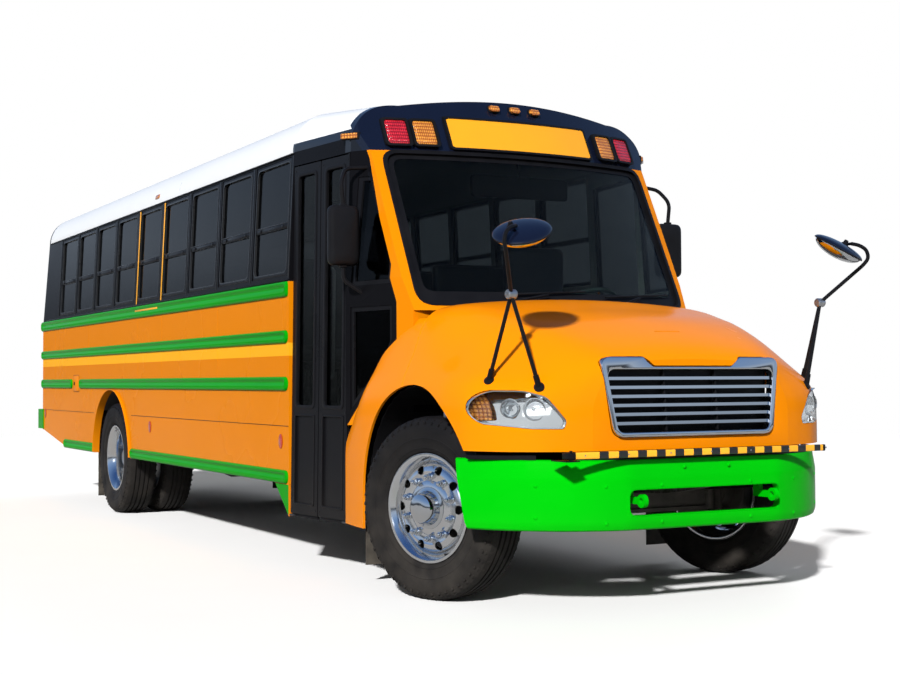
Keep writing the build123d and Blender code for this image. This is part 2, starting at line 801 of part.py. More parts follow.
def leaf_pack(y, half_length, seat_z, rise, thickness, x):
    """A leaf spring: an arc of plates under the frame rail, on the axle, with a shackle block at each end."""
    low = [(y - half_length, seat_z + rise), (y, seat_z), (y + half_length, seat_z + rise)]
    line = ThreePointArc(*low) + Line(low[2], (low[2][0], low[2][1] + thickness))
    line += ThreePointArc(*[(u, v + thickness) for u, v in reversed(low)]) + Line((low[0][0], low[0][1] + thickness), low[0])
    face = Plane.YZ.offset(x - 38) * make_face(line)
    pack = extrude(face, 76, dir=(1, 0, 0))
    for end in (y - half_length + 40, y + half_length - 40):
        pack += block((x - 38, x + 38), (end - 40, end + 40), (seat_z + rise, rail_top - rail_height))
    return pack


def make_springs():
    x = rail_outer - 42
    front = leaf_pack(front_axle_y, 640, 520, 80, 50, x)
    rear = leaf_pack(rear_axle_y, 700, 585, 30, 50, x)
    save("leaf_springs", front, other_side(front), rear, other_side(rear))


shaft_radius = 48


def make_rear_axle():
    half_line = [(985, 0), (985, axle_end_radius), (610, axle_end_radius), (610, 75), (230, 82), (150, 180), (70, 215)]
    housing = turned(half_line + [(-x, r) for x, r in reversed(half_line)])
    axle = Pos(0, rear_axle_y, tyre_radius) * housing
    axle += rod((0, rear_axle_y - 330, 520), (0, rear_axle_y - 150, 508), 85)
    for side in (1, -1):
        seat_x = side * (rail_outer - 42)
        axle += block(sorted((seat_x - 38, seat_x + 38)), (rear_axle_y - 60, rear_axle_y + 60), (tyre_radius, 585))
    save("rear_axle", axle)
    shaft = rod((0, aft(240), 690), (0, rear_axle_y - 320, 520), shaft_radius)
    save("driveshaft", shaft - axle - engine())


hook_eye_radius = 16
hook_ring_radius = 34
hook_ring_aft = -1108
hook_half = 12
hook_z = 580


def make_bumpers():
    low, high = bumper_low, bumper_high
    face_y = aft(bumper_face_aft)
    end_y = aft(-555)
    half = 1160
    thickness = bumper_skin

    def plan(inset):
        x1 = 760
        points = [(x1, face_y + inset), (-x1, face_y + inset)]
        line = Line(*points)
        line += ThreePointArc((-x1, face_y + inset), (-1040 + inset * 0.6, aft(-940) + inset * 0.8), (-half + inset, end_y))
        line += Line((-half + inset, end_y), (half - inset, end_y))
        line += ThreePointArc((half - inset, end_y), (1040 - inset * 0.6, aft(-940) + inset * 0.8), (x1, face_y + inset))
        return make_face(line)

    bumper = extrude(Pos(0, 0, low) * plan(0), high - low)
    hollow = extrude(Pos(0, 0, low + thickness) * plan(thickness), high - low - 2 * thickness)
    bumper -= hollow
    bumper -= block((-far, far), (aft(-900), aft(0)), (low + thickness + 30, high - thickness - 30)) & block(
        (-1100, 1100), (aft(-900), aft(0)), (0, 3000)
    )
    keep = extrude(Pos(0, 0, low) * plan(95), high - low)
    bumper -= keep
    slot = cross_plane(aft(-1200)) * Pos(0, 580) * RectangleRounded(900, 117, 45)
    bumper -= extrude(slot, 200, dir=(0, 1, 0))
    save("front_bumper", bumper)

    hooks = []
    hook_x = rail_outer - 8
    for side in (1, -1):
        x = (side * hook_x - hook_half, side * hook_x + hook_half)
        ring_y = aft(hook_ring_aft)
        hook = x_cylinder(x, ring_y, hook_z, hook_ring_radius)
        hook += block(x, (ring_y, aft(-960)), (hook_z - 18, hook_z + 18))
        hook += block(x, (aft(-1010), aft(-960)), (hook_z - 18, rail_top - rail_height))
        hook -= x_cylinder(x, ring_y, hook_z, hook_eye_radius)
        hooks.append(hook)
    save("tow_hooks", hooks)

    rear_low, rear_high = 692, 902
    wrap = body_half + 12
    bar = block((-wrap, wrap), (aft(8832), aft(rear_reach)), (rear_low, rear_high))
    bar -= block((-body_half, body_half), (aft(8800), aft(body_rear_aft)), (0, 2000))
    bar -= block((-wrap + 8, wrap - 8), (aft(body_rear_aft - 1), aft(rear_reach - 8)), (rear_low + 8, rear_high - 8))
    bar -= block((-wrap + 40, wrap - 40), (aft(body_rear_aft - 1), aft(rear_reach - 30)), (rear_low - 1, rear_low + 9))
    save("rear_bumper", bar)


def make_mud_flaps():
    front = block((880, 1140), (aft(668), aft(676)), (110, rail_top))
    rear = block((600, body_half - wall - 1), (aft(wheelbase + 640), aft(wheelbase + 650)), (110, rail_top))
    save("mud_flaps", front, other_side(front), rear, other_side(rear))


seat_rows = 9
seat_pitch = 698
seat_first_aft = 2330
seat_cushion = (190, 1150)
seat_base = 340
leg_x = (240, 270)
bar_depth = 40


def make_seats():
    soft = []
    frames = []
    for row in range(seat_rows):
        y = aft(seat_first_aft + row * seat_pitch)
        for side in (1, -1):
            x = sorted((side * seat_cushion[0], side * seat_cushion[1]))
            cushion = block(x, (y - 400, y), (floor_top + 340, floor_top + 450))
            back = block(x, (y + 12, y + 100), (floor_top + 340, floor_top + 1080))
            soft.append(cushion)
            soft.append(back)
            foot_x = sorted((side * leg_x[0], side * leg_x[1]))
            cross_x = sorted((side * leg_x[1], side * (body_half - wall)))
            rest = floor_top + seat_base
            frames.append(block(foot_x, (y - 360, y + 60), (rest - bar_depth, rest)))
            frames.append(block(foot_x, (y - 330, y - 290), (floor_top, rest - bar_depth)))
            frames.append(block(foot_x, (y + 10, y + 50), (floor_top, rest - bar_depth)))
            frames.append(block(cross_x, (y - 200, y - 160), (rest - bar_depth, rest)))
    driver, base = driver_place()
    save("seats", soft, driver)
    save("seat_frames", frames, base)


def driver_place():
    x = 560
    y = aft(1480)
    cushion = block((x - 250, x + 250), (y - 470, y), (floor_top + 330, floor_top + 450))
    back = block((x - 250, x + 250), (y + 10, y + 120), (floor_top + 400, floor_top + 1150))
    base = block((x - 180, x + 180), (y - 420, y - 60), (floor_top, floor_top + 330))
    base += block((x - 60, x + 60), (y - 100, y + 65), (floor_top + 290, floor_top + 330))
    base += block((x - 60, x + 60), (y + 20, y + 65), (floor_top + 290, floor_top + 400))
    return [cushion, back], base


def make_cab_inside():
    x = 560
    dash = block((-860, 900), (aft(firewall_aft + wall), aft(760)), (1180, 1560)) & body_solid(wall, 600)
    wheel_place = Pos(x, aft(905), 1650) * Rot(-35, 0, 0)
    ring = wheel_place * Torus(225, 14)
    spokes = wheel_place * Box(430, 40, 12)
    spokes += wheel_place * Pos(0, 0, -10) * Cylinder(50, 40)
    column = rod((x, aft(905), 1640), (x, aft(725), 1390), 30)
    save("dashboard", dash + ring + spokes + column)


def make_underbody():
    inside = rail_outer - rail_web
    tank = block((-inside, inside), (aft(7450), aft(7490)), (745, 800))
    tank += block((-inside, inside), (aft(8300), aft(8340)), (745, 800))
    for x in (-175, 175):
        tank += Pos(x, aft(7900), 600) * Rot(90, 0, 0) * Cylinder(165, 1300)
    save("fuel_tank", tank)
    pipe = rod((-560, aft(900), 600), (-560, aft(2400), 600), 50)
    muffler = rod((-620, aft(2500), 620), (-620, aft(3700), 620), 125)
    joint = rod((-560, aft(2390), 600), (-600, aft(2520), 610), 50)
    hanger = block((-640, -600), (aft(3060), aft(3120)), (700, rail_top))
    save("exhaust", pipe + muffler + joint + hanger)


lamp_stand = 34
sign_stand = 22


def make_lamps():
    """Eight warning lamps in housings on the header, with three small markers above."""
    lamps = {"red": (762, 915), "amber": (590, 745)}
    found = {}
    for name, (low, high) in lamps.items():
        tube = block((low, high), (aft(-300), aft(1400)), (2636, 2816))
        lamp = (body_solid(-lamp_stand) - outer) & tube
        front = front_part(lamp)
        rear = rear_part(lamp)
        found[name] = [front, other_side(front), rear, other_side(rear)]
    sign = (body_solid(-sign_stand) - outer) & block((-515, 515), (aft(-300), aft(9300)), (2630, 2838))
    save("sign_panels", front_part(sign), rear_part(sign))
    dots = []
    for x in (-150, 0, 150):
        tube = block((x - 35, x + 35), (aft(-300), aft(1400)), (2905, 2945))
        dots.append(front_part((body_solid(-lamp_stand) - outer) & tube))
    save("red_lamps", found["red"])
    save("amber_lamps", found["amber"], dots)


def front_part(shape):
    return min(shape.solids(), key=lambda solid: solid.center().Y)


def rear_part(shape):
    return max(shape.solids(), key=lambda solid: solid.center().Y)


def make_mirrors():
    heads = []
    arms = []
    foot_out, foot_in = (1004, aft(-567), 1195), (825, aft(-771), 1174)
    clamp = (1023, aft(-830), 1627)
    head = (1044, aft(-975), 1913)
    arm = rod(foot_out, clamp, 12) + rod(foot_in, clamp, 12) + rod(clamp, (1044, aft(-960), 1885), 12)
    arm += Pos(*clamp) * Sphere(26)
    arm -= nose_outer
    for foot in (foot_out, foot_in):
        arm += (Pos(*foot) * Sphere(30)) - nose_outer
    save("crossview_arms", arm, other_side(arm))
    shell_ball = Pos(*head) * Rot(20, 0, 0) * scale(Sphere(110), by=(1, 0.8, 0.45))
    bowl = shell_ball - (Pos(0, 0, 0) * arm)
    save("crossview_heads", bowl, other_side(bowl))

    mast = rod((960, aft(879), 2500), (1166, aft(900), 2484), 13) + rod((1166, aft(900), 2484), (1226, aft(841), 2392), 13)
    mast += rod((1226, aft(841), 2392), (1205, aft(845), 2255), 13)
    mast += rod((1205, aft(845), 1880), (1205, aft(845), 1800), 13) + rod((1205, aft(845), 1800), (1060, aft(830), 1710), 13)
    head_box = block((1100, 1310), (aft(800), aft(870)), (1876, 2261))
    head_box = fillet(head_box.edges().filter_by(Axis.Y), 30)
    mast = (mast + head_box) - outer
    save("rearview_mirrors", mast, other_side(mast))


leaf_thickness = 40
leaf_gap = 6
post_gap = 12
door_lean = 0.0158
door_low = 340
door_high = screen_top - 8
pivot_in = 30
pivot_depth = 12
pivot_radius = 8


def door_plane():
    """The door's own frame: X along the tapering wall, Y outward, Z up the lean, and the wall's length."""
    front = Vector(-cab_belt_half, aft(door_front_aft), 0)
    along = Vector(-body_half, aft(door_rear_aft), 0) - front
    up = Vector(door_lean, 0, 1)
    return Plane(origin=front, x_dir=along, z_dir=along.cross(up).cross(along)), along.length


def pivot_pins(low, high, radius):
    plane, length = door_plane()
    pins = []
    for place in (pivot_in, length - pivot_in):
        pins.append(plane * Pos(place, -pivot_depth, (low + high) / 2) * Cylinder(radius, high - low))
    return pins


def make_entrance_door():
    """Two glazed leaves between the posts, each turning on pins at its post."""
    plane, length = door_plane()
    half = length / 2
    for name, start, end in (("front", post_gap, half - leaf_gap), ("rear", half + leaf_gap, length - post_gap)):
        frame = block((start, end), (-leaf_thickness, 0), (door_low, door_high))
        frame -= block((start + 55, end - 55), (-60, 10), (1030, door_high - 60))
        frame -= block((start + 40, end - 40), (-10, 10), (door_low + 60, 980))
        leaf = plane * frame
        for bore in pivot_pins(door_low - 10, door_low + 45, pivot_radius + 0.4):
            leaf -= bore
        for bore in pivot_pins(door_high - 40, door_high + 10, pivot_radius + 0.4):
            leaf -= bore
        glass = block((start + 55, end - 55), (-23, -17), (1030, door_high - 60))
        save(f"door_leaf_{name}", leaf)
        save(f"door_glass_{name}", plane * glass)


gate_hinge_x = -860
gate_hinge_aft = -front_overhang + 30
gate_z = (802, 837)
pin_radius = 8


def make_gate():
    arm = block((gate_hinge_x - 20, 776), (aft(-front_overhang), aft(-front_overhang + 22)), gate_z)
    arm += block((gate_hinge_x - 30, gate_hinge_x + 30), (aft(-front_overhang), aft(gate_hinge_aft + 22)), gate_z)
    arm -= Pos(gate_hinge_x, aft(gate_hinge_aft), 800) * Cylinder(pin_radius + 0.5, 200)
    save("crossing_gate", arm)
    base = block((gate_hinge_x - 40, gate_hinge_x + 40), (aft(gate_hinge_aft - 20), aft(-1000)), (bumper_high, bumper_high + 6))
    base += Pos(gate_hinge_x, aft(gate_hinge_aft), bumper_high + 28) * Cylinder(pin_radius, 56)
    return base


stop_hinge_aft = 1850
stop_hinge_x = body_half + 35
stop_z = 1640
stop_size = 450


def make_stop_arm():
    """Blank eight-sided blade folded flat along the driver's side, on a hinge box."""
    radius = stop_size / 2
    centre_y = aft(stop_hinge_aft + 15 + radius)
    blade = Plane.YZ.offset(stop_hinge_x - 3) * Pos(centre_y, stop_z) * RegularPolygon(
        radius, 8, major_radius=False, rotation=22.5
    )
    stop = extrude(blade, 6, dir=(1, 0, 0))
    stop += block(
        (stop_hinge_x - 7, stop_hinge_x + 7), (aft(stop_hinge_aft - 10), aft(stop_hinge_aft + 60)),
        (stop_z - 70, stop_z + 70),
    )
    stop -= Pos(stop_hinge_x, aft(stop_hinge_aft), stop_z) * Cylinder(4.5, 400)
    save("stop_arm", stop)
    box = block((body_half, stop_hinge_x + 8), (aft(stop_hinge_aft - 75), aft(stop_hinge_aft - 16)), (stop_z - 90, stop_z + 90))
    for low, high in ((stop_z - 90, stop_z - 76), (stop_z + 76, stop_z + 90)):
        box += block(
            (stop_hinge_x - 8, stop_hinge_x + 8), (aft(stop_hinge_aft - 20), aft(stop_hinge_aft + 10)), (low, high)
        )
    box += Pos(stop_hinge_x, aft(stop_hinge_aft), stop_z) * Cylinder(4, 170)
    return box


os.makedirs("parts", exist_ok=True)
make_body()
make_glass()
make_rear_door()
make_rub_rails()
make_bonnet()
make_grille()
make_chassis()
make_floor()
make_wheels()
make_front_axle()
make_springs()
make_rear_axle()
make_bumpers()
make_mud_flaps()
make_seats()
make_cab_inside()
make_underbody()
make_lamps()
make_mirrors()
make_entrance_door()
save("arm_brackets", make_gate(), make_stop_arm())
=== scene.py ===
import bpy
import bmesh
import json
import math
from mathutils import Matrix, Vector
from mathutils.bvhtree import BVHTree


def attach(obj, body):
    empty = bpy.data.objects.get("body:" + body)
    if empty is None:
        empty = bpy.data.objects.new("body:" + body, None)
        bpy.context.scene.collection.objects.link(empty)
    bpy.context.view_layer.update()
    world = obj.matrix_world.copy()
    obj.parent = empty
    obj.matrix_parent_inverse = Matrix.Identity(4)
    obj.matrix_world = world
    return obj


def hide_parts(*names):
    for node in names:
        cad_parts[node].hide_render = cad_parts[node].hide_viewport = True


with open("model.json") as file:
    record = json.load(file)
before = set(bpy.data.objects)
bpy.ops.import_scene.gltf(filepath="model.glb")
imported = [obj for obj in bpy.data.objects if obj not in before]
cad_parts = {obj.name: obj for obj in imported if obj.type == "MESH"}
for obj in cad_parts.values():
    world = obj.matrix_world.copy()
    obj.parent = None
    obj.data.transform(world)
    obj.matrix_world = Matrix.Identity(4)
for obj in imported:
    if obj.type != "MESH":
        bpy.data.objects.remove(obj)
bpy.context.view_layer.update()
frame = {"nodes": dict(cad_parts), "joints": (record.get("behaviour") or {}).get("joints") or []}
nodes = frame["nodes"]
joints = {joint["name"]: joint for joint in frame["joints"]}
print("frame loaded:", len(nodes), "nodes")

# Places along the bus are given in metres behind the front axle.
frontAxleY = joints["steer_left"]["pos_m"][1]
rearAxleY = joints["wheels_rear_left_spin"]["pos_m"][1]
wheelZ = joints["wheels_rear_left_spin"]["pos_m"][2]
wheelbase = rearAxleY - frontAxleY


def aft(distance):
    return frontAxleY + distance


# Mesh helpers

bothSides = ((-1, "Right"), (1, "Left"))
mirrorX = Matrix.Diagonal((-1, 1, 1, 1))
mergeDistance = 0.00001


def shift(x, y, z):
    return Matrix.Translation((x, y, z))


def newObject(name, data):
    made = bpy.data.objects.new(name, data)
    bpy.context.scene.collection.objects.link(made)
    return made


def meshPiece(name, points, faces, smooth=True):
    mesh = bpy.data.meshes.new(name)
    mesh.from_pydata([tuple(point) for point in points], [], faces)
    mesh.update()
    if smooth:
        mesh.shade_smooth()
    return newObject(name, mesh)


def tidyNormals(piece, slivers=False):
    work = bmesh.new()
    work.from_mesh(piece.data)
    bmesh.ops.remove_doubles(work, verts=work.verts, dist=mergeDistance)
    if slivers:
        bmesh.ops.dissolve_degenerate(work, edges=work.edges, dist=mergeDistance)
    bmesh.ops.recalc_face_normals(work, faces=work.faces)
    work.to_mesh(piece.data)
    work.free()
    return piece


def sharpEdges(piece, angle=35):
    piece.data.shade_smooth()
    piece.data.set_sharp_from_angle(angle=math.radians(angle))
    return piece


def settle(piece, sharp=None):
    # The modifiers' result becomes the mesh.
    bpy.context.view_layer.update()
    evaluated = piece.evaluated_get(bpy.context.evaluated_depsgraph_get())
    made = bpy.data.meshes.new_from_object(evaluated)
    piece.modifiers.clear()
    piece.data = made
    return piece if sharp is None else sharpEdges(piece, sharp)


def bevelled(piece, width, segments=2, angle=30):
    modifier = piece.modifiers.new("bevel", "BEVEL")
    modifier.width = width
    modifier.segments = segments
    modifier.limit_method = "ANGLE"
    modifier.angle_limit = math.radians(angle)
    return settle(piece, 40)


def cut(piece, cutter, operation="DIFFERENCE", keep=False):
    modifier = piece.modifiers.new("cut", "BOOLEAN")
    modifier.operation = operation
    modifier.solver = "EXACT"
    modifier.object = cutter
    settle(piece)
    if not keep:
        bpy.data.objects.remove(cutter)
    return piece


def copyOf(piece, name):
    return newObject(name, piece.data.copy())


def joined(name, pieces):
    # One mesh from several, each face with its own material.
    mesh = bpy.data.meshes.new(name)
    work = bmesh.new()
    slots = []
    for piece in pieces:
        shift = {}
        for index, material in enumerate(piece.data.materials):
            if material not in slots:
                slots.append(material)
            shift[index] = slots.index(material)
        start = len(work.faces)
        work.from_mesh(piece.data)
        work.faces.ensure_lookup_table()
        for face in work.faces[start:]:
            face.material_index = shift.get(face.material_index, 0)
    work.to_mesh(mesh)
    work.free()
    for material in slots:
        mesh.materials.append(material)
    for piece in pieces:
        bpy.data.objects.remove(piece)
    return newObject(name, mesh)


def boxPiece(name, low, high, bevel=0.0, segments=2):
    points = [(x, y, z) for x in (low[0], high[0]) for y in (low[1], high[1]) for z in (low[2], high[2])]
    faces = [(0, 1, 3, 2), (4, 6, 7, 5), (0, 4, 5, 1), (2, 3, 7, 6), (0, 2, 6, 4), (1, 5, 7, 3)]
    piece = meshPiece(name, points, faces, smooth=False)
    return bevelled(piece, bevel, segments) if bevel else piece


def lathe(name, profile, segments=96, sharp=35):
    # Turns a closed outline of (x, radius) about the X axis; outline points on the axis merge.
    points = []
    for step in range(segments):
        angle = 2 * math.pi * step / segments
        points += [(x, r * math.cos(angle), r * math.sin(angle)) for x, r in profile]
    count = len(profile)
    faces = []
    for step in range(segments):
        here, there = step * count, (step + 1) % segments * count
        for row in range(count):
            after = (row + 1) % count
            faces.append((here + row, here + after, there + after, there + row))
    return sharpEdges(tidyNormals(meshPiece(name, points, faces), slivers=True), sharp)


def tube(name, points, radius, segments=12, closed=False):
    curve = bpy.data.curves.new(name, "CURVE")
    curve.dimensions = "3D"
    curve.bevel_depth = radius
    curve.bevel_resolution = max(1, segments // 4)
    curve.use_fill_caps = True
    soft = len(points) > 2
    spline = curve.splines.new("NURBS" if soft else "POLY")
    spline.points.add(len(points) - 1)
    for place, point in zip(spline.points, points):
        place.co = (*point, 1)
    spline.use_cyclic_u = closed
    if soft:
        spline.order_u = 3
        spline.use_endpoint_u = not closed
        curve.resolution_u = 8
    bar = newObject(name, curve)
    bpy.context.view_layer.update()
    mesh = bpy.data.meshes.new_from_object(bar.evaluated_get(bpy.context.evaluated_depsgraph_get()))
    bpy.data.objects.remove(bar)
    return sharpEdges(newObject(name, mesh), 50)


def inPlane(outline, plane, w):
    # Points of a flat outline, w being their place on the axis that the plane's name leaves out.
    return [{"yz": (w, u, v), "xz": (u, w, v), "xy": (u, v, w)}[plane] for u, v in outline]


def prism(name, outline, plane, low, high):
    points = inPlane(outline, plane, low) + inPlane(outline, plane, high)
    count = len(outline)
    faces = [tuple(range(count)), tuple(range(2 * count - 1, count - 1, -1))]
    for step in range(count):
        after = (step + 1) % count
        faces.append((step, step + count, after + count, after))
    return tidyNormals(meshPiece(name, points, faces, smooth=False))


def gridPiece(name, rows, closeRows=False, closeAcross=False, caps=False):
    # A skin over rows of points; caps close both ends.
    width = len(rows[0])
    points = [point for row in rows for point in row]
    faces = []
    for i in range(len(rows) if closeRows else len(rows) - 1):
        nextRow = (i + 1) % len(rows)
        for j in range(width if closeAcross else width - 1):
            after = (j + 1) % width
            faces.append((i * width + j, i * width + after, nextRow * width + after, nextRow * width + j))
    if caps:
        faces.append(tuple(range(width)))
        faces.append(tuple(range(len(points) - 1, len(points) - 1 - width, -1)))
    return tidyNormals(meshPiece(name, points, faces))


def moved(piece, matrix):
    piece.data.transform(matrix)
    if matrix.to_3x3().determinant() < 0:
        piece.data.flip_normals()
    return piece


def dress(piece, material):
    piece.data.materials.clear()
    piece.data.materials.append(m[material])
    return piece


def dressed(pieces, material):
    return [dress(piece, material) for piece in pieces]


def circle(x, y, radius, count=32):
    angles = [2 * math.pi * k / count for k in range(count)]
    return [(x + radius * math.cos(angle), y + radius * math.sin(angle)) for angle in angles]


def hermite(points, at):
    # Smooth value through (place, value...) rows, at one place.
    last = len(points) - 1
    index = 0
    while index < last - 1 and at > points[index + 1][0]:
        index += 1
    a, b = points[index], points[index + 1]
    span = b[0] - a[0]
    t = min(max((at - a[0]) / span, 0), 1)

    def slope(i, k):
        if i in (0, last):
            j = 0 if i == 0 else last - 1
            return (points[j + 1][k] - points[j][k]) / (points[j + 1][0] - points[j][0])
        back = (points[i][k] - points[i - 1][k]) / (points[i][0] - points[i - 1][0])
        ahead = (points[i + 1][k] - points[i][k]) / (points[i + 1][0] - points[i][0])
        if back * ahead <= 0:
            return 0
        return 2 * back * ahead / (back + ahead)

    values = []
    for k in range(1, len(a)):
        one, two = slope(index, k) * span, slope(index + 1, k) * span
        values.append(
            (2 * t**3 - 3 * t**2 + 1) * a[k] + (t**3 - 2 * t**2 + t) * one
            + (3 * t**2 - 2 * t**3) * b[k] + (t**3 - t**2) * two
        )
    return values


# Geometry Nodes: trees for what repeats

def newTree(name, inputs):
    tree = bpy.data.node_groups.new(name, "GeometryNodeTree")
    tree.interface.new_socket("Geometry", in_out="INPUT", socket_type="NodeSocketGeometry")
    for label, kind, value in inputs:
        socket = tree.interface.new_socket(label, in_out="INPUT", socket_type=kind)
        if value is not None:
            socket.default_value = value
    tree.interface.new_socket("Geometry", in_out="OUTPUT", socket_type="NodeSocketGeometry")
    return tree, tree.nodes.new("NodeGroupInput"), tree.nodes.new("NodeGroupOutput")


def endTree(tree, start, end, place):
    # Every tree ends in real geometry with the material set.
    real = tree.nodes.new("GeometryNodeRealizeInstances")
    paint = tree.nodes.new("GeometryNodeSetMaterial")
    tree.links.new(place.outputs["Instances"], real.inputs["Geometry"])
    tree.links.new(real.outputs["Geometry"], paint.inputs["Geometry"])
    tree.links.new(start.outputs["Material"], paint.inputs["Material"])
    tree.links.new(paint.outputs["Geometry"], end.inputs["Geometry"])
    return tree


def studTree():
    # Domes on a cloud of points, each turned to the point's own facing.
    tree, start, end = newTree("studs", [
        ("Radius", "NodeSocketFloat", 0.008), ("Height", "NodeSocketFloat", 0.004),
        ("Sides", "NodeSocketInt", 8), ("Material", "NodeSocketMaterial", None),
    ])
    link = tree.links.new
    facing = tree.nodes.new("GeometryNodeInputNamedAttribute")
    facing.data_type = "FLOAT_VECTOR"
    facing.inputs["Name"].default_value = "facing"
    turn = tree.nodes.new("FunctionNodeAlignRotationToVector")
    turn.axis = "Z"
    link(facing.outputs["Attribute"], turn.inputs["Vector"])
    ball = tree.nodes.new("GeometryNodeMeshUVSphere")
    ball.inputs["Rings"].default_value = 4
    ball.inputs["Radius"].default_value = 1
    link(start.outputs["Sides"], ball.inputs["Segments"])
    size = tree.nodes.new("ShaderNodeCombineXYZ")
    link(start.outputs["Radius"], size.inputs["X"])
    link(start.outputs["Radius"], size.inputs["Y"])
    link(start.outputs["Height"], size.inputs["Z"])
    place = tree.nodes.new("GeometryNodeInstanceOnPoints")
    link(start.outputs["Geometry"], place.inputs["Points"])
    link(ball.outputs["Mesh"], place.inputs["Instance"])
    link(turn.outputs["Rotation"], place.inputs["Rotation"])
    link(size.outputs["Vector"], place.inputs["Scale"])
    return endTree(tree, start, end, place)


def ringTree():
    # Copies of one piece turned about the X axis.
    tree, start, end = newTree("ring", [
        ("Count", "NodeSocketInt", 10), ("First", "NodeSocketFloat", 0.0), ("Material", "NodeSocketMaterial", None),
    ])
    link = tree.links.new
    spots = tree.nodes.new("GeometryNodePoints")
    link(start.outputs["Count"], spots.inputs["Count"])
    number = tree.nodes.new("GeometryNodeInputIndex")
    share = tree.nodes.new("ShaderNodeMath")
    share.operation = "DIVIDE"
    link(number.outputs["Index"], share.inputs[0])
    link(start.outputs["Count"], share.inputs[1])
    angle = tree.nodes.new("ShaderNodeMath")
    angle.operation = "MULTIPLY_ADD"
    angle.inputs[1].default_value = 2 * math.pi
    link(share.outputs["Value"], angle.inputs[0])
    link(start.outputs["First"], angle.inputs[2])
    turn = tree.nodes.new("ShaderNodeCombineXYZ")
    link(angle.outputs["Value"], turn.inputs["X"])
    place = tree.nodes.new("GeometryNodeInstanceOnPoints")
    link(spots.outputs["Points"], place.inputs["Points"])
    link(start.outputs["Geometry"], place.inputs["Instance"])
    link(turn.outputs["Vector"], place.inputs["Rotation"])
    return endTree(tree, start, end, place)


def rowTree():
    # Copies of one piece along a step.
    tree, start, end = newTree("row", [
        ("Count", "NodeSocketInt", 6), ("Step", "NodeSocketVector", (0.0, 0.0, 0.1)),
        ("Material", "NodeSocketMaterial", None),
    ])
    link = tree.links.new
    line = tree.nodes.new("GeometryNodeMeshLine")
    link(start.outputs["Count"], line.inputs["Count"])
    link(start.outputs["Step"], line.inputs["Offset"])
    place = tree.nodes.new("GeometryNodeInstanceOnPoints")
    link(line.outputs["Mesh"], place.inputs["Points"])
    link(start.outputs["Geometry"], place.inputs["Instance"])
    return endTree(tree, start, end, place)


studs, ringOf, rowOf = studTree(), ringTree(), rowTree()


def grown(piece, tree, sharp=35, **values):
    # Runs a tree on a piece; its inputs are set by the socket's identifier.
    modifier = piece.modifiers.new("grow", "NODES")
    modifier.node_group = tree
    for item in tree.interface.items_tree:
        if item.item_type == "SOCKET" and item.in_out == "INPUT" and item.name in values:
            value = values[item.name]
            modifier[item.identifier] = m[value] if item.name == "Material" else value
    return settle(piece, sharp)


def studCloud(name, spots, radius, height, material, sides=8):
    # spots: pairs of a point and the way that it faces
    mesh = bpy.data.meshes.new(name)
    mesh.from_pydata([tuple(point) for point, way in spots], [], [])
    facing = mesh.attributes.new("facing", "FLOAT_VECTOR", "POINT")
    facing.data.foreach_set("vector", [value for point, way in spots for value in way])
    return grown(newObject(name, mesh), studs, 60, Radius=radius, Height=height, Sides=sides, Material=material)


print("helpers ready")

# Shader groups

def shaderGroup(name, inputs, outputs):
    group = bpy.data.node_groups.new(name, "ShaderNodeTree")
    for label, kind, value in inputs:
        socket = group.interface.new_socket(label, in_out="INPUT", socket_type=f"NodeSocket{kind}")
        socket.default_value = value
    for label, kind in outputs:
        group.interface.new_socket(label, in_out="OUTPUT", socket_type=f"NodeSocket{kind}")
    return group, group.nodes.new("NodeGroupInput"), group.nodes.new("NodeGroupOutput")


def noiseNode(tree, scale=None, detail=4.0, rough=0.55):
    node = tree.nodes.new("ShaderNodeTexNoise")
    node.inputs["Detail"].default_value = detail
    node.inputs["Roughness"].default_value = rough
    if scale is not None:
        node.inputs["Scale"].default_value = scale
    return node


def mathNode(tree, operation, a, b=None, c=None, clamp=False):
    node = tree.nodes.new("ShaderNodeMath")
    node.operation = operation
    node.use_clamp = clamp
    for socket, value in zip(node.inputs, (a, b, c)):
        if value is None:
            continue
        if isinstance(value, (int, float)):
            socket.default_value = value
        else:
            tree.links.new(value, socket)
    return node.outputs["Value"]


def times(tree, a, b):
    return mathNode(tree, "MULTIPLY", a, b)


def plus(tree, a, b):
    return mathNode(tree, "ADD", a, b)


def minus(tree, a, b):
    return mathNode(tree, "SUBTRACT", a, b)


def mixColors(tree, factor, a, b, blend="MIX"):
    node = tree.nodes.new("ShaderNodeMix")
    node.data_type = "RGBA"
    node.blend_type = blend
    for index, value in ((0, factor), (6, a), (7, b)):
        if isinstance(value, (int, float)):
            node.inputs[index].default_value = value
        elif isinstance(value, (tuple, list)):
            node.inputs[index].default_value = (*value[:3], 1)
        else:
            tree.links.new(value, node.inputs[index])
    return node.outputs[2]


def rangeNode(tree, value, low, high, to=(0.0, 1.0)):
    node = tree.nodes.new("ShaderNodeMapRange")
    node.inputs["From Min"].default_value = low
    node.inputs["From Max"].default_value = high
    node.inputs["To Min"].default_value = to[0]
    node.inputs["To Max"].default_value = to[1]
    tree.links.new(value, node.inputs["Value"])
    return node.outputs["Result"]


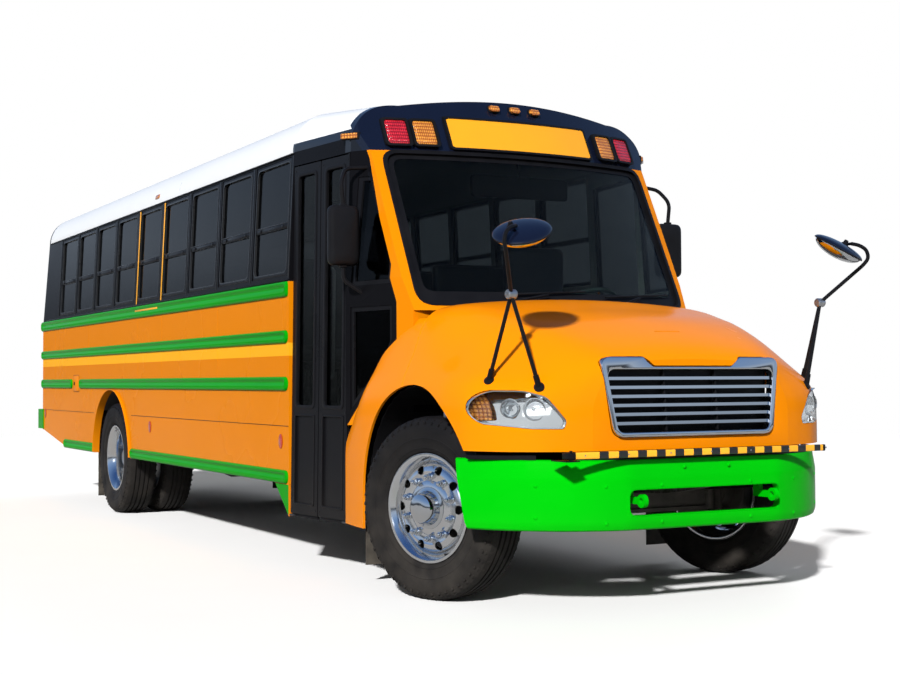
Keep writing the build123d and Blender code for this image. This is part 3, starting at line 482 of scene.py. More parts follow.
def finishGroup():
    # Slow colour drift plus fine grain: a shade, a roughness shift and a height.
    group, start, end = shaderGroup(
        "surfaceVariation",
        [("Vector", "Vector", (0, 0, 0)), ("Drift Scale", "Float", 2.0), ("Grain Scale", "Float", 400.0)],
        [("Drift", "Float"), ("Grain", "Float")],
    )
    drift = noiseNode(group, detail=3)
    grain = noiseNode(group, detail=2, rough=0.5)
    for node, label in ((drift, "Drift Scale"), (grain, "Grain Scale")):
        group.links.new(start.outputs["Vector"], node.inputs["Vector"])
        group.links.new(start.outputs[label], node.inputs["Scale"])
    group.links.new(drift.outputs["Fac"], end.inputs["Drift"])
    group.links.new(grain.outputs["Fac"], end.inputs["Grain"])
    return group


def dustGroup():
    # Road dust that thins out with height.
    group, start, end = shaderGroup(
        "roadDust",
        [("Vector", "Vector", (0, 0, 0)), ("Top", "Float", 0.9), ("Amount", "Float", 0.5)],
        [("Mask", "Float")],
    )
    split = group.nodes.new("ShaderNodeSeparateXYZ")
    group.links.new(start.outputs["Vector"], split.inputs["Vector"])
    noise = noiseNode(group, scale=7, detail=6)
    group.links.new(start.outputs["Vector"], noise.inputs["Vector"])
    height = mathNode(group, "DIVIDE", split.outputs["Z"], start.outputs["Top"])
    fall = mathNode(group, "SUBTRACT", 1.0, height, clamp=True)
    patchy = rangeNode(group, noise.outputs["Fac"], 0.3, 0.75, (0.25, 1.0))
    mask = mathNode(group, "MULTIPLY", fall, patchy)
    mask = mathNode(group, "MULTIPLY", mask, start.outputs["Amount"], clamp=True)
    group.links.new(mask, end.inputs["Mask"])
    return group


def wearGroup():
    # Convex edges lose a little of their finish, in broken patches.
    group, start, end = shaderGroup(
        "edgeWear",
        [("Vector", "Vector", (0, 0, 0)), ("Scale", "Float", 30.0), ("Amount", "Float", 0.5)],
        [("Mask", "Float")],
    )
    shape = group.nodes.new("ShaderNodeNewGeometry")
    edge = rangeNode(group, shape.outputs["Pointiness"], 0.53, 0.62)
    noise = noiseNode(group, detail=5, rough=0.7)
    group.links.new(start.outputs["Vector"], noise.inputs["Vector"])
    group.links.new(start.outputs["Scale"], noise.inputs["Scale"])
    patchy = rangeNode(group, noise.outputs["Fac"], 0.45, 0.65)
    mask = mathNode(group, "MULTIPLY", edge, patchy)
    mask = mathNode(group, "MULTIPLY", mask, start.outputs["Amount"], clamp=True)
    group.links.new(mask, end.inputs["Mask"])
    return group


def brushedGroup():
    # Fine lines drawn out along one axis, from a stretched noise.
    group, start, end = shaderGroup(
        "brushedLines",
        [("Vector", "Vector", (0, 0, 0)), ("Stretch", "Vector", (1, 60, 60)), ("Scale", "Float", 12.0)],
        [("Lines", "Float")],
    )
    scale = group.nodes.new("ShaderNodeVectorMath")
    scale.operation = "MULTIPLY"
    group.links.new(start.outputs["Vector"], scale.inputs[0])
    group.links.new(start.outputs["Stretch"], scale.inputs[1])
    noise = noiseNode(group, detail=2)
    group.links.new(scale.outputs["Vector"], noise.inputs["Vector"])
    group.links.new(start.outputs["Scale"], noise.inputs["Scale"])
    group.links.new(noise.outputs["Fac"], end.inputs["Lines"])
    return group


def fluteGroup():
    # Pillow optics of a moulded lens: a grid of small swells.
    group, start, end = shaderGroup(
        "lensFlutes",
        [("Vector", "Vector", (0, 0, 0)), ("Across", "Float", 220.0), ("Upright", "Float", 120.0)],
        [("Height", "Float")],
    )
    split = group.nodes.new("ShaderNodeSeparateXYZ")
    group.links.new(start.outputs["Vector"], split.inputs["Vector"])
    across = mathNode(group, "ABSOLUTE", mathNode(group, "SINE", mathNode(
        group, "MULTIPLY", split.outputs["X"], start.outputs["Across"])))
    upright = mathNode(group, "ABSOLUTE", mathNode(group, "SINE", mathNode(
        group, "MULTIPLY", split.outputs["Z"], start.outputs["Upright"])))
    group.links.new(mathNode(group, "MULTIPLY", across, upright), end.inputs["Height"])
    return group


variation, dust, wear, brushed, flutes = finishGroup(), dustGroup(), wearGroup(), brushedGroup(), fluteGroup()
dustColor = (0.30, 0.26, 0.21)
m = {}


def startMaterial(name):
    material = bpy.data.materials.new(name)
    material.use_nodes = True
    tree = material.node_tree
    tree.nodes.clear()
    shader = tree.nodes.new("ShaderNodeBsdfPrincipled")
    out = tree.nodes.new("ShaderNodeOutputMaterial")
    tree.links.new(shader.outputs["BSDF"], out.inputs["Surface"])
    coords = tree.nodes.new("ShaderNodeTexCoord")
    return material, tree, shader, coords.outputs["Object"]


def useGroup(tree, group, vector, **values):
    node = tree.nodes.new("ShaderNodeGroup")
    node.node_tree = group
    tree.links.new(vector, node.inputs["Vector"])
    for label, value in values.items():
        node.inputs[label.replace("_", " ")].default_value = value
    return node


def bump(tree, height, strength, distance):
    node = tree.nodes.new("ShaderNodeBump")
    node.inputs["Strength"].default_value = strength
    node.inputs["Distance"].default_value = distance
    tree.links.new(height, node.inputs["Height"])
    return node.outputs["Normal"]


def shade(color, factor):
    return tuple(min(value * factor, 1) for value in color)


def layered(name, color, rough, metal=0.0, coat=0.0, drift=(1.5, 0.06), grain=(300, 0.06, 0.0004),
            roughDrift=0.08, dusty=(0.9, 0.0), worn=0.0, wornColor=(0.25, 0.25, 0.26), pattern=None, **plain):
    # color: one colour, or a function that makes it from the tree and its coordinates
    material, tree, shader, place = startMaterial(name)
    noise = useGroup(tree, variation, place, Drift_Scale=drift[0], Grain_Scale=grain[0])
    share = rangeNode(tree, noise.outputs["Drift"], 0.3, 0.7)
    if callable(color):
        base = mixColors(tree, share, color(tree, place), [1 - 2 * drift[1]] * 3, "MULTIPLY")
    else:
        base = mixColors(tree, share, shade(color, 1 - drift[1]), shade(color, 1 + drift[1]))
    roughness = rangeNode(tree, noise.outputs["Drift"], 0.3, 0.7,
                          (max(rough - roughDrift, 0.02), min(rough + roughDrift, 1)))
    if worn:
        mask = useGroup(tree, wear, place, Amount=worn).outputs["Mask"]
        base = mixColors(tree, mask, base, wornColor)
        roughness = mathNode(tree, "MAXIMUM", roughness, times(tree, mask, 0.5))
    if dusty[1]:
        film = useGroup(tree, dust, place, Top=dusty[0], Amount=dusty[1]).outputs["Mask"]
        base = mixColors(tree, film, base, dustColor)
        roughness = mathNode(tree, "MAXIMUM", roughness, times(tree, film, 0.9))
    tree.links.new(base, shader.inputs["Base Color"])
    tree.links.new(roughness, shader.inputs["Roughness"])
    height = noise.outputs["Grain"] if pattern is None else pattern(tree, place, noise.outputs["Grain"])
    tree.links.new(bump(tree, height, grain[1], grain[2]), shader.inputs["Normal"])
    shader.inputs["Metallic"].default_value = metal
    shader.inputs["Coat Weight"].default_value = coat
    shader.inputs["Coat Roughness"].default_value = 0.04
    for label, value in plain.items():
        shader.inputs[label.replace("_", " ")].default_value = value
    m[name] = material


yellow = (0.70, 0.203, 0.0005)
# The walls' and pillars' yellow is the bonnet's paint made darker: painted shade on the sides.
sideYellowPaintedShade = (0.607, 0.182, 0.0012)
railGreen = (0.001, 0.235, 0.002)
bumperGreenColor = (0.0, 0.40, 0.002)


def axisValue(tree, place, axis):
    split = tree.nodes.new("ShaderNodeSeparateXYZ")
    tree.links.new(place, split.inputs["Vector"])
    return split.outputs[axis]


def step(tree, value, edge, width=0.001):
    return rangeNode(tree, value, edge - width, edge + width)


paint = {
    "windowBandLow": 1.846,
    "lightBand": (1.36, 1.445),
    "lining": (0.33, 0.36, 0.33),
    "band": (0.004, 0.004, 0.005),
    "roofEdge": 2.750,
}


def insideMask(tree, place):
    # One on faces that look towards the middle of the bus.
    facing = axisValue(tree, tree.nodes.new("ShaderNodeNewGeometry").outputs["Normal"], "X")
    return mathNode(tree, "LESS_THAN", times(tree, axisValue(tree, place, "X"), facing), -0.3)


def wallColor(tree, place):
    z = axisValue(tree, place, "Z")
    low, high = paint["lightBand"]
    light = times(tree, step(tree, z, low), minus(tree, 1.0, step(tree, z, high)))
    # The wall's yellow carries painted shade and is darker than the bonnet's.
    base = mixColors(tree, light, sideYellowPaintedShade, (0.80, 0.36, 0.012))
    base = mixColors(tree, step(tree, z, paint["windowBandLow"]), base, paint["band"])
    return mixColors(tree, insideMask(tree, place), base, paint["lining"])


def cabColor(tree, place):
    # The pillar is yellow; behind a broken line the cab's side is black.
    z, y = axisValue(tree, place, "Z"), axisValue(tree, place, "Y")
    over = times(tree, mathNode(tree, "MAXIMUM", minus(tree, z, 1.655), 0.0), 0.412)
    under = times(tree, mathNode(tree, "MAXIMUM", minus(tree, 1.425, z), 0.0), 0.94)
    edge = plus(tree, plus(tree, over, under), 0.5 + frontAxleY)
    # The pillar's yellow carries painted shade and is darker than the bonnet's.
    base = mixColors(tree, mathNode(tree, "GREATER_THAN", y, edge), sideYellowPaintedShade, paint["band"])
    hidden = times(tree, mathNode(tree, "LESS_THAN", z, 1.25), mathNode(tree, "LESS_THAN", y, 0.75 + frontAxleY))
    base = mixColors(tree, hidden, base, paint["band"])
    return mixColors(tree, insideMask(tree, place), base, paint["lining"])


def roofColor(tree, place):
    facing = axisValue(tree, tree.nodes.new("ShaderNodeNewGeometry").outputs["Normal"], "Z")
    under = mathNode(tree, "LESS_THAN", facing, -0.15)
    z, y = axisValue(tree, place, "Z"), axisValue(tree, place, "Y")
    brow = times(tree, mathNode(tree, "LESS_THAN", z, paint["roofEdge"]),
                 mathNode(tree, "LESS_THAN", y, 1.72 + frontAxleY))
    base = mixColors(tree, brow, (0.78, 0.785, 0.78), paint["band"])
    return mixColors(tree, under, base, (0.45, 0.46, 0.44))


def headerColor(tree, place):
    # Navy in front; behind the cap's edge the roof's white meets the black over the door.
    z, y = axisValue(tree, place, "Z"), axisValue(tree, place, "Y")
    x = axisValue(tree, place, "X")
    lean = times(tree, minus(tree, z, 1.65), 0.518)
    flank = times(tree, times(tree, x, x), 0.172)
    rise = times(tree, mathNode(tree, "MAXIMUM", minus(tree, z, 2.74), 0.0), 0.9)
    edge = plus(tree, plus(tree, lean, flank), plus(tree, rise, 0.235 + frontAxleY))
    behind = times(tree, mathNode(tree, "GREATER_THAN", y, edge), mathNode(tree, "LESS_THAN", y, 0.0))
    far = mixColors(tree, step(tree, z, paint["roofEdge"]), paint["band"], (0.78, 0.785, 0.78))
    return mixColors(tree, behind, (0.004, 0.006, 0.016), far)


def chevrons(tree, place):
    # Black bars on yellow along the crossing arm.
    x = axisValue(tree, place, "X")
    wave = mathNode(tree, "FRACT", times(tree, plus(tree, x, 5.0), 8.6))
    bar = times(tree, mathNode(tree, "LESS_THAN", wave, 0.48),
                mathNode(tree, "LESS_THAN", mathNode(tree, "ABSOLUTE", x), 0.74))
    return mixColors(tree, bar, (0.95, 0.42, 0.02), (0.012, 0.012, 0.012))


def ribPattern(axis, count, amount=1.0):
    def pattern(tree, place, grain):
        value = axisValue(tree, place, axis)
        wave = mathNode(tree, "SINE", times(tree, value, count))
        return plus(tree, times(tree, wave, amount), grain)
    return pattern


def linesPattern(stretch, scale):
    def pattern(tree, place, grain):
        return useGroup(tree, brushed, place, Stretch=stretch, Scale=scale).outputs["Lines"]
    return pattern


enamel = {"coat": 0.03, "Specular_IOR_Level": 0.04}
dull = {"Specular_IOR_Level": 0.12}
layered("bonnetPaint", yellow, 0.24, coat=0.10, Specular_IOR_Level=0.04, drift=(1.2, 0.02),
        grain=(420, 0.05, 0.0003), roughDrift=0.04, dusty=(0.9, 0.04))
layered("wallPaint", wallColor, 0.26, **enamel, drift=(0.9, 0.02), grain=(380, 0.05, 0.0003), roughDrift=0.05,
        dusty=(0.85, 0.04))
layered("cabPaint", cabColor, 0.26, **enamel, drift=(0.9, 0.02), grain=(380, 0.05, 0.0003), roughDrift=0.05)
layered("railPaint", railGreen, 0.22, **enamel, drift=(1.5, 0.05), grain=(420, 0.05, 0.0003), roughDrift=0.05,
        dusty=(0.8, 0.04))
layered("bumperPaint", bumperGreenColor, 0.25, **enamel, drift=(1.5, 0.03), grain=(380, 0.06, 0.0003),
        roughDrift=0.05, dusty=(0.55, 0.04))
layered("roofPaint", roofColor, 0.34, coat=0.4, drift=(1.0, 0.03), grain=(300, 0.06, 0.0003))
layered("headerPaint", headerColor, 0.2, coat=0.15, Specular_IOR_Level=0.5, drift=(2.0, 0.1),
        grain=(420, 0.05, 0.0003), roughDrift=0.04)
layered("blackPaint", (0.005, 0.005, 0.006), 0.3, drift=(2.0, 0.15), grain=(400, 0.06, 0.0003), dusty=(0.7, 0.05),
        **dull)
layered("chassisBlack", (0.010, 0.010, 0.010), 0.5, **dull, drift=(4, 0.3), grain=(160, 0.2, 0.0006),
        dusty=(1.0, 0.45), worn=0.3)
layered("castIron", (0.035, 0.033, 0.031), 0.62, metal=0.4, drift=(9, 0.35), grain=(110, 0.5, 0.0012),
        dusty=(1.2, 0.5))
layered("brightChrome", (0.62, 0.64, 0.66), 0.07, metal=1.0, drift=(3, 0.03), grain=(90, 0.02, 0.0002),
        roughDrift=0.03)
layered("polishedAlloy", (0.74, 0.75, 0.76), 0.14, metal=1.0, drift=(5, 0.05), grain=(200, 0.03, 0.0002),
        roughDrift=0.06, dusty=(0.5, 0.10), pattern=linesPattern((90, 1, 1), 30))
layered("zincSteel", (0.42, 0.43, 0.44), 0.36, metal=0.9, drift=(8, 0.15), grain=(180, 0.1, 0.0004),
        dusty=(0.8, 0.3), worn=0.4)
layered("tyreRubber", (0.006, 0.006, 0.007), 0.62, **dull, drift=(9, 0.25), grain=(260, 0.25, 0.0006),
        dusty=(1.1, 0.12))
layered("flapRubber", (0.010, 0.010, 0.010), 0.6, **dull, drift=(6, 0.25), grain=(150, 0.3, 0.0008),
        dusty=(0.9, 0.4), pattern=ribPattern("X", 320, 0.4))
layered("gasketRubber", (0.006, 0.006, 0.007), 0.45, **dull, drift=(8, 0.2), grain=(500, 0.12, 0.0003))
layered("floorRubber", (0.028, 0.029, 0.031), 0.55, drift=(3, 0.2), grain=(220, 0.2, 0.001),
        pattern=ribPattern("X", 420, 0.8))
layered("dashPlastic", (0.075, 0.125, 0.115), 0.5, drift=(4, 0.06), grain=(700, 0.35, 0.0006))
layered("windowTrim", (0.030, 0.031, 0.033), 0.28, metal=0.5, drift=(3, 0.15), grain=(400, 0.05, 0.0003),
        pattern=linesPattern((60, 1, 1), 30))
layered("blackPlastic", (0.007, 0.007, 0.008), 0.38, **dull, drift=(6, 0.15), grain=(650, 0.3, 0.0005))
layered("seatVinyl", (0.035, 0.045, 0.065), 0.45, drift=(4, 0.12), grain=(520, 0.45, 0.0007), roughDrift=0.1)
layered("signPanel", (0.72, 0.30, 0.008), 0.36, coat=0.3, drift=(5, 0.02), grain=(900, 0.12, 0.0003))
layered("gateStripe", chevrons, 0.34, coat=0.3, drift=(5, 0.04), grain=(500, 0.08, 0.0003))
layered("stopRed", (0.52, 0.008, 0.010), 0.34, coat=0.3, drift=(5, 0.05), grain=(900, 0.12, 0.0003))
layered("whiteReflective", (0.62, 0.62, 0.58), 0.4, drift=(9, 0.05), grain=(900, 0.2, 0.0004))
layered("stripYellow", (0.75, 0.33, 0.01), 0.35, drift=(9, 0.04), grain=(900, 0.12, 0.0003))
layered("cabLining", (0.30, 0.33, 0.31), 0.5, drift=(3, 0.06), grain=(500, 0.2, 0.0005))


def glassMaterial(name, color, rough=0.015, drift=0.04):
    material, tree, shader, place = startMaterial(name)
    noise = useGroup(tree, variation, place, Drift_Scale=1.3, Grain_Scale=60)
    share = rangeNode(tree, noise.outputs["Drift"], 0.3, 0.7)
    tree.links.new(mixColors(tree, share, shade(color, 1 - drift), shade(color, 1 + drift)),
                   shader.inputs["Base Color"])
    smear = rangeNode(tree, noise.outputs["Grain"], 0.45, 0.75, (rough, rough + 0.05))
    tree.links.new(smear, shader.inputs["Roughness"])
    tree.links.new(bump(tree, noise.outputs["Drift"], 0.04, 0.002), shader.inputs["Normal"])
    shader.inputs["Transmission Weight"].default_value = 1.0
    shader.inputs["IOR"].default_value = 1.18
    shader.inputs["Specular IOR Level"].default_value = 0.3
    m[name] = material


# glow is the colour of a painted highlight on the swells' tops; the hollows get a darkened colour, painted shade.
def lensMaterial(name, color, glow, transmission=0.35, across=260.0, upright=150.0):
    material, tree, shader, place = startMaterial(name)
    swell = useGroup(tree, flutes, place, Across=across, Upright=upright)
    noise = useGroup(tree, variation, place, Drift_Scale=14.0, Grain_Scale=300)
    # Painted highlights on the swells' tops and painted shade in the hollows between them, mixed into the lens's
    # colour.
    share = rangeNode(tree, swell.outputs["Height"], 0.05, 0.85)
    swellHighlight = times(tree, share, rangeNode(tree, noise.outputs["Drift"], 0.3, 0.7, (0.55, 1.0)))
    tree.links.new(mixColors(tree, swellHighlight, shade(color, 0.35), glow), shader.inputs["Base Color"])
    tree.links.new(rangeNode(tree, noise.outputs["Grain"], 0.3, 0.7, (0.06, 0.16)), shader.inputs["Roughness"])
    tree.links.new(bump(tree, swell.outputs["Height"], 0.8, 0.003), shader.inputs["Normal"])
    shader.inputs["Transmission Weight"].default_value = transmission
    shader.inputs["Coat Weight"].default_value = 0.6
    shader.inputs["Coat Roughness"].default_value = 0.03
    m[name] = material


glassMaterial("clearGlass", (0.34, 0.39, 0.39))
glassMaterial("tintGlass", (0.035, 0.040, 0.046))
glassMaterial("doorGlass", (0.22, 0.25, 0.25))
layered("mirrorGlass", (0.60, 0.62, 0.64), 0.05, metal=1.0, drift=(4, 0.02), grain=(60, 0.01, 0.0002),
        roughDrift=0.02)
glassMaterial("lampClear", (0.93, 0.95, 0.96), 0.01)
lensMaterial("lampRed", (0.42, 0.006, 0.012), (0.85, 0.03, 0.05), 0.2)
lensMaterial("lampAmber", (0.70, 0.16, 0.01), (1.0, 0.42, 0.06), 0.2)
lensMaterial("reflectorRed", (0.55, 0.02, 0.01), (0.9, 0.10, 0.03), 0.0, 700.0, 700.0)
print("materials ready:", len(m))

# What the CAD nodes wear
nodeFinish = {
    "bonnetPaint": "bonnet cowl_wings",
    "cabPaint": "cab_front",
    "wallPaint": "side_wall_driver side_wall_curb rear_wall rear_door",
    "roofPaint": "roof",
    "headerPaint": "front_header crossview_heads",
    "clearGlass": "windscreen",
    "tintGlass": "window_glass rear_door_glass",
    "blackPaint": "window_sashes door_leaf_front door_leaf_rear arm_brackets",
    "railPaint": "rub_rails rear_bumper",
    "lampClear": "headlamps",
    "brightChrome": "grille",
    "chassisBlack": "frame_rails radiator leaf_springs driveshaft seat_frames fuel_tank",
    "castIron": "engine_block front_axle knuckle_left knuckle_right tie_rod rear_axle",
    "floorRubber": "floor",
    "bumperPaint": "front_bumper tow_hooks",
    "flapRubber": "mud_flaps",
    "seatVinyl": "seats",
    "dashPlastic": "dashboard",
    "zincSteel": "exhaust",
    "lampRed": "red_lamps",
    "lampAmber": "amber_lamps",
    "signPanel": "sign_panels",
    "blackPlastic": "crossview_arms rearview_mirrors",
    "doorGlass": "door_glass_front door_glass_rear",
    "gateStripe": "crossing_gate",
    "stopRed": "stop_arm",
    "tyreRubber": "tyre_front_left tyre_front_right tyres_rear_left tyres_rear_right",
    "polishedAlloy": "rim_front_left rim_front_right rims_rear_left rims_rear_right",
}
for finish, names in nodeFinish.items():
    for name in names.split():
        if name in nodes:
            dress(bpy.data.objects[name], finish)
print("nodes dressed")

# Camera, light and floor

studio = {
    "cameraPlace": (-4.7225, -11.0436, 1.1955),
    "yaw": 0.4909,
    "pitch": 0.0295,
    "roll": -0.005,
    "lens": 57.71,
    "floorColor": (0.90, 0.90, 0.90),
    "floorSize": 160.0,
    "floorFade": (9.0, 22.0),
    "sky": 0.20,
    "bounce": 0.42,
}


def makeCamera():
    forward = Vector((
        math.sin(studio["yaw"]) * math.cos(studio["pitch"]),
        math.cos(studio["yaw"]) * math.cos(studio["pitch"]),
        math.sin(studio["pitch"]),
    ))
    right = forward.cross(Vector((0, 0, 1))).normalized()
    up = right.cross(forward)
    turn = Matrix((right, up, -forward)).transposed().to_4x4()
    data = bpy.data.cameras.new("camera")
    data.lens = studio["lens"]
    data.sensor_width = 36
    data.clip_end = 500
    camera = newObject("camera", data)
    camera.matrix_world = Matrix.Translation(studio["cameraPlace"]) @ turn @ Matrix.Rotation(studio["roll"], 4, "Z")
    bpy.context.scene.camera = camera


def softBox(name, place, target, size, power, color=(1, 1, 1)):
    data = bpy.data.lights.new(name, "AREA")
    data.shape = "RECTANGLE"
    data.size, data.size_y = size
    data.energy = power
    data.color = color
    lamp = newObject(name, data)
    lamp.location = place
    lamp.rotation_euler = (Vector(target) - Vector(place)).to_track_quat("-Z", "Y").to_euler()


def farLight(name, toward, strength, angle, color=(1, 1, 1)):
    # A very wide lamp far away, so that the whole bus gets the same light.
    data = bpy.data.lights.new(name, "SUN")
    data.energy = strength
    data.angle = math.radians(angle)
    data.color = color
    lamp = newObject(name, data)
    lamp.rotation_euler = Vector(toward).to_track_quat("-Z", "Y").to_euler()
    lamp.visible_glossy = False


def mixShaders(tree, factor, one, two):
    node = tree.nodes.new("ShaderNodeMixShader")
    for socket, value in zip(node.inputs, (factor, one.outputs[0], two.outputs[0])):
        tree.links.new(value, socket)
    return node


def makeWorld():
    world = bpy.data.worlds.new("studio")
    world.use_nodes = True
    bpy.context.scene.world = world
    tree = world.node_tree
    tree.nodes.clear()
    path = tree.nodes.new("ShaderNodeLightPath")
    seen = mathNode(tree, "MAXIMUM", path.outputs["Is Camera Ray"], path.outputs["Is Transmission Ray"])
    coords = tree.nodes.new("ShaderNodeTexCoord")
    split = tree.nodes.new("ShaderNodeSeparateXYZ")
    tree.links.new(coords.outputs["Generated"], split.inputs["Vector"])
    ramp = tree.nodes.new("ShaderNodeValToRGB")
    stops = [(0.0, (0.05, 0.06, 0.07)), (0.05, (0.09, 0.10, 0.12)), (0.12, (0.46, 0.55, 0.68)),
             (0.32, (0.22, 0.36, 0.62)), (0.9, (0.04, 0.10, 0.28))]
    for index, (position, color) in enumerate(stops):
        stop = ramp.color_ramp.elements[index] if index < 2 else ramp.color_ramp.elements.new(position)
        stop.position = position
        stop.color = (*color, 1)
    tree.links.new(split.outputs["Z"], ramp.inputs["Fac"])
    back, shine, fill = (tree.nodes.new("ShaderNodeBackground") for _ in range(3))
    back.inputs["Color"].default_value = (1, 1, 1, 1)
    tree.links.new(ramp.outputs["Color"], shine.inputs["Color"])
    fill.inputs["Strength"].default_value = studio["sky"]
    first = mixShaders(tree, path.outputs["Is Glossy Ray"], fill, shine)
    second = mixShaders(tree, seen, first, back)
    out = tree.nodes.new("ShaderNodeOutputWorld")
    tree.links.new(second.outputs[0], out.inputs["Surface"])


def makeFloor():
    # Pale and matt near the bus, fading to the white of the background.
    material, tree, shader, place = startMaterial("floor")
    noise = noiseNode(tree, scale=0.6, detail=3)
    tree.links.new(place, noise.inputs["Vector"])
    low, high = shade(studio["floorColor"], 0.98), shade(studio["floorColor"], 1.02)
    path = tree.nodes.new("ShaderNodeLightPath")
    seen = plus(tree, times(tree, path.outputs["Is Camera Ray"], 1 - studio["bounce"]), studio["bounce"])
    pale = mixColors(tree, noise.outputs["Fac"], low, high)
    tree.links.new(mixColors(tree, seen, (0, 0, 0), pale), shader.inputs["Base Color"])
    shader.inputs["Roughness"].default_value = 0.9
    shader.inputs["Specular IOR Level"].default_value = 0.1
    length = tree.nodes.new("ShaderNodeVectorMath")
    length.operation = "LENGTH"
    tree.links.new(place, length.inputs[0])
    glow = tree.nodes.new("ShaderNodeEmission")
    fade = rangeNode(tree, length.outputs["Value"], *studio["floorFade"])
    mix = mixShaders(tree, times(tree, fade, path.outputs["Is Camera Ray"]), shader, glow)
    out = next(node for node in tree.nodes if node.type == "OUTPUT_MATERIAL")
    tree.links.new(mix.outputs[0], out.inputs["Surface"])
    half = studio["floorSize"]
    floor = meshPiece("floorSheet", [(-half, -half, 0), (half, -half, 0), (half, half, 0), (-half, half, 0)],
                      [(0, 1, 2, 3)])
    floor.data.materials.append(material)


bpy.context.scene.view_settings.view_transform = "Standard"
makeCamera()
makeWorld()
makeFloor()
farLight("keyLight", (0.60, 0.63, -0.51), 6.0, 3.0, (1.0, 0.99, 0.98))
farLight("rimLight", (-0.62, -0.60, -0.52), 0.7, 30, (0.94, 0.97, 1.0))
softBox("frontPanel", (-8, -12, 4.5), (0, -3, 1.2), (5, 2.6), 60)
print("studio ready")

# Shared places

def finished(piece, material, body, replaces=()):
    # Material, body and the hiding of the nodes that it replaces in one go; the piece is returned.
    if material is not None:
        dress(piece, material)
    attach(piece, body)
    if replaces:
        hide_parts(*replaces)
    return piece


def arcPoints(a, b, c, count):
    # Points of the circle through three points in a plane, from a by b to c.
    (ax, ay), (bx, by), (cx, cy) = a, b, c
    d = 2 * (ax * (by - cy) + bx * (cy - ay) + cx * (ay - by))
    ux = ((ax**2 + ay**2) * (by - cy) + (bx**2 + by**2) * (cy - ay) + (cx**2 + cy**2) * (ay - by)) / d
    uy = ((ax**2 + ay**2) * (cx - bx) + (bx**2 + by**2) * (ax - cx) + (cx**2 + cy**2) * (bx - ax)) / d
    radius = math.hypot(ax - ux, ay - uy)
    start, middle, end = (math.atan2(p[1] - uy, p[0] - ux) for p in (a, b, c))
    turn = (end - start) % (2 * math.pi)
    if (middle - start) % (2 * math.pi) > turn:
        turn -= 2 * math.pi
    return [
        (ux + radius * math.cos(start + turn * k / count), uy + radius * math.sin(start + turn * k / count))
        for k in range(count + 1)
    ]


def roundedOutline(corners, radius, steps=6):
    # Rounds each corner of a polygon; radius may be one number or one for each corner.
    made = []
    count = len(corners)
    for index, corner in enumerate(corners):
        size = radius[index] if isinstance(radius, (list, tuple)) else radius
        here = Vector(corner)
        back = (Vector(corners[index - 1]) - here)
        ahead = (Vector(corners[(index + 1) % count]) - here)
        reach = size / math.tan(back.angle(ahead) / 2) if size else 0
        reach = min(reach, back.length * 0.49, ahead.length * 0.49)
        first, last = here + back.normalized() * reach, here + ahead.normalized() * reach
        if reach < 0.0005:
            made.append(tuple(here))
            continue
        for k in range(steps + 1):
            t = k / steps
            made.append(tuple((1 - t) ** 2 * first + 2 * t * (1 - t) * here + t**2 * last))
    return made


def ringPiece(name, outer, inner, plane, low, high, bevel=0.0):
    # A flat ring between two outlines with the same number of points.
    rows = [inPlane(line, plane, w) for line, w in ((outer, low), (outer, high), (inner, high), (inner, low))]
    piece = gridPiece(name, rows, closeRows=True, closeAcross=True)
    return bevelled(piece, bevel) if bevel else sharpEdges(piece, 30)


screen = {"aft": 0.202, "z": 1.65, "slope": 492 / 950, "radius": 3.0, "half": 0.945, "low": 1.640, "high": 2.600,
          "corner": 0.09}


def screenY(x, z, offset=0.0):
    flank = screen["radius"] - math.sqrt(screen["radius"] ** 2 - x * x)
    return aft(screen["aft"] + (z - screen["z"]) * screen["slope"] + offset) + flank


def screenCutter(offset):
    # Everything behind the windscreen's surface, as one closed solid.
    across = [-1.6 + 3.2 * step / 48 for step in range(49)]
    rows = []
    for z in (0.1, 3.4):
        rows.append([(x, screenY(x, z, offset), z) for x in across] + [(1.6, aft(11), z), (-1.6, aft(11), z)])
    return gridPiece("screenCutter", rows, closeAcross=True, caps=True)


# Bonnet, wings and cowl sides: one smooth skin, cut into its panels

nose = {
    "front": -0.985,
    "rows": [
        (-0.985, 0.640, 1.150, 0.560, 1.270, 1.300), (-0.960, 0.735, 1.160, 0.580, 1.292, 1.330),
        (-0.890, 0.900, 1.170, 0.610, 1.335, 1.385), (-0.760, 1.050, 1.185, 0.655, 1.400, 1.452),
        (-0.538, 1.165, 1.210, 0.740, 1.480, 1.540), (-0.330, 1.190, 1.225, 0.810, 1.540, 1.590),
        (0.130, 1.190, 1.240, 0.925, 1.615, 1.668), (0.600, 1.176, 1.215, 0.960, 1.560, 1.650),
        (0.985, 1.132, 0.930, 0.900, 1.100, 1.200), (1.045, 1.120, 0.900, 0.890, 1.070, 1.160),
    ],
    "wingRound": 0.07,
    "skin": 0.014,
    "bottom": 0.831,
    "archRadius": 0.639,
    "archZ": 0.532,
    "softening": 10,
}


def evenLine(points, count):
    lengths = [0.0]
    for a, b in zip(points, points[1:]):
        lengths.append(lengths[-1] + math.dist(a, b))
    made = []
    index = 0
    for step in range(count):
        at = lengths[-1] * step / (count - 1)
        while index < len(points) - 2 and lengths[index + 1] < at:
            index += 1
        span = lengths[index + 1] - lengths[index]
        t = (at - lengths[index]) / span if span else 0
        made.append(tuple(a + (b - a) * t for a, b in zip(points[index], points[index + 1])))
    return made


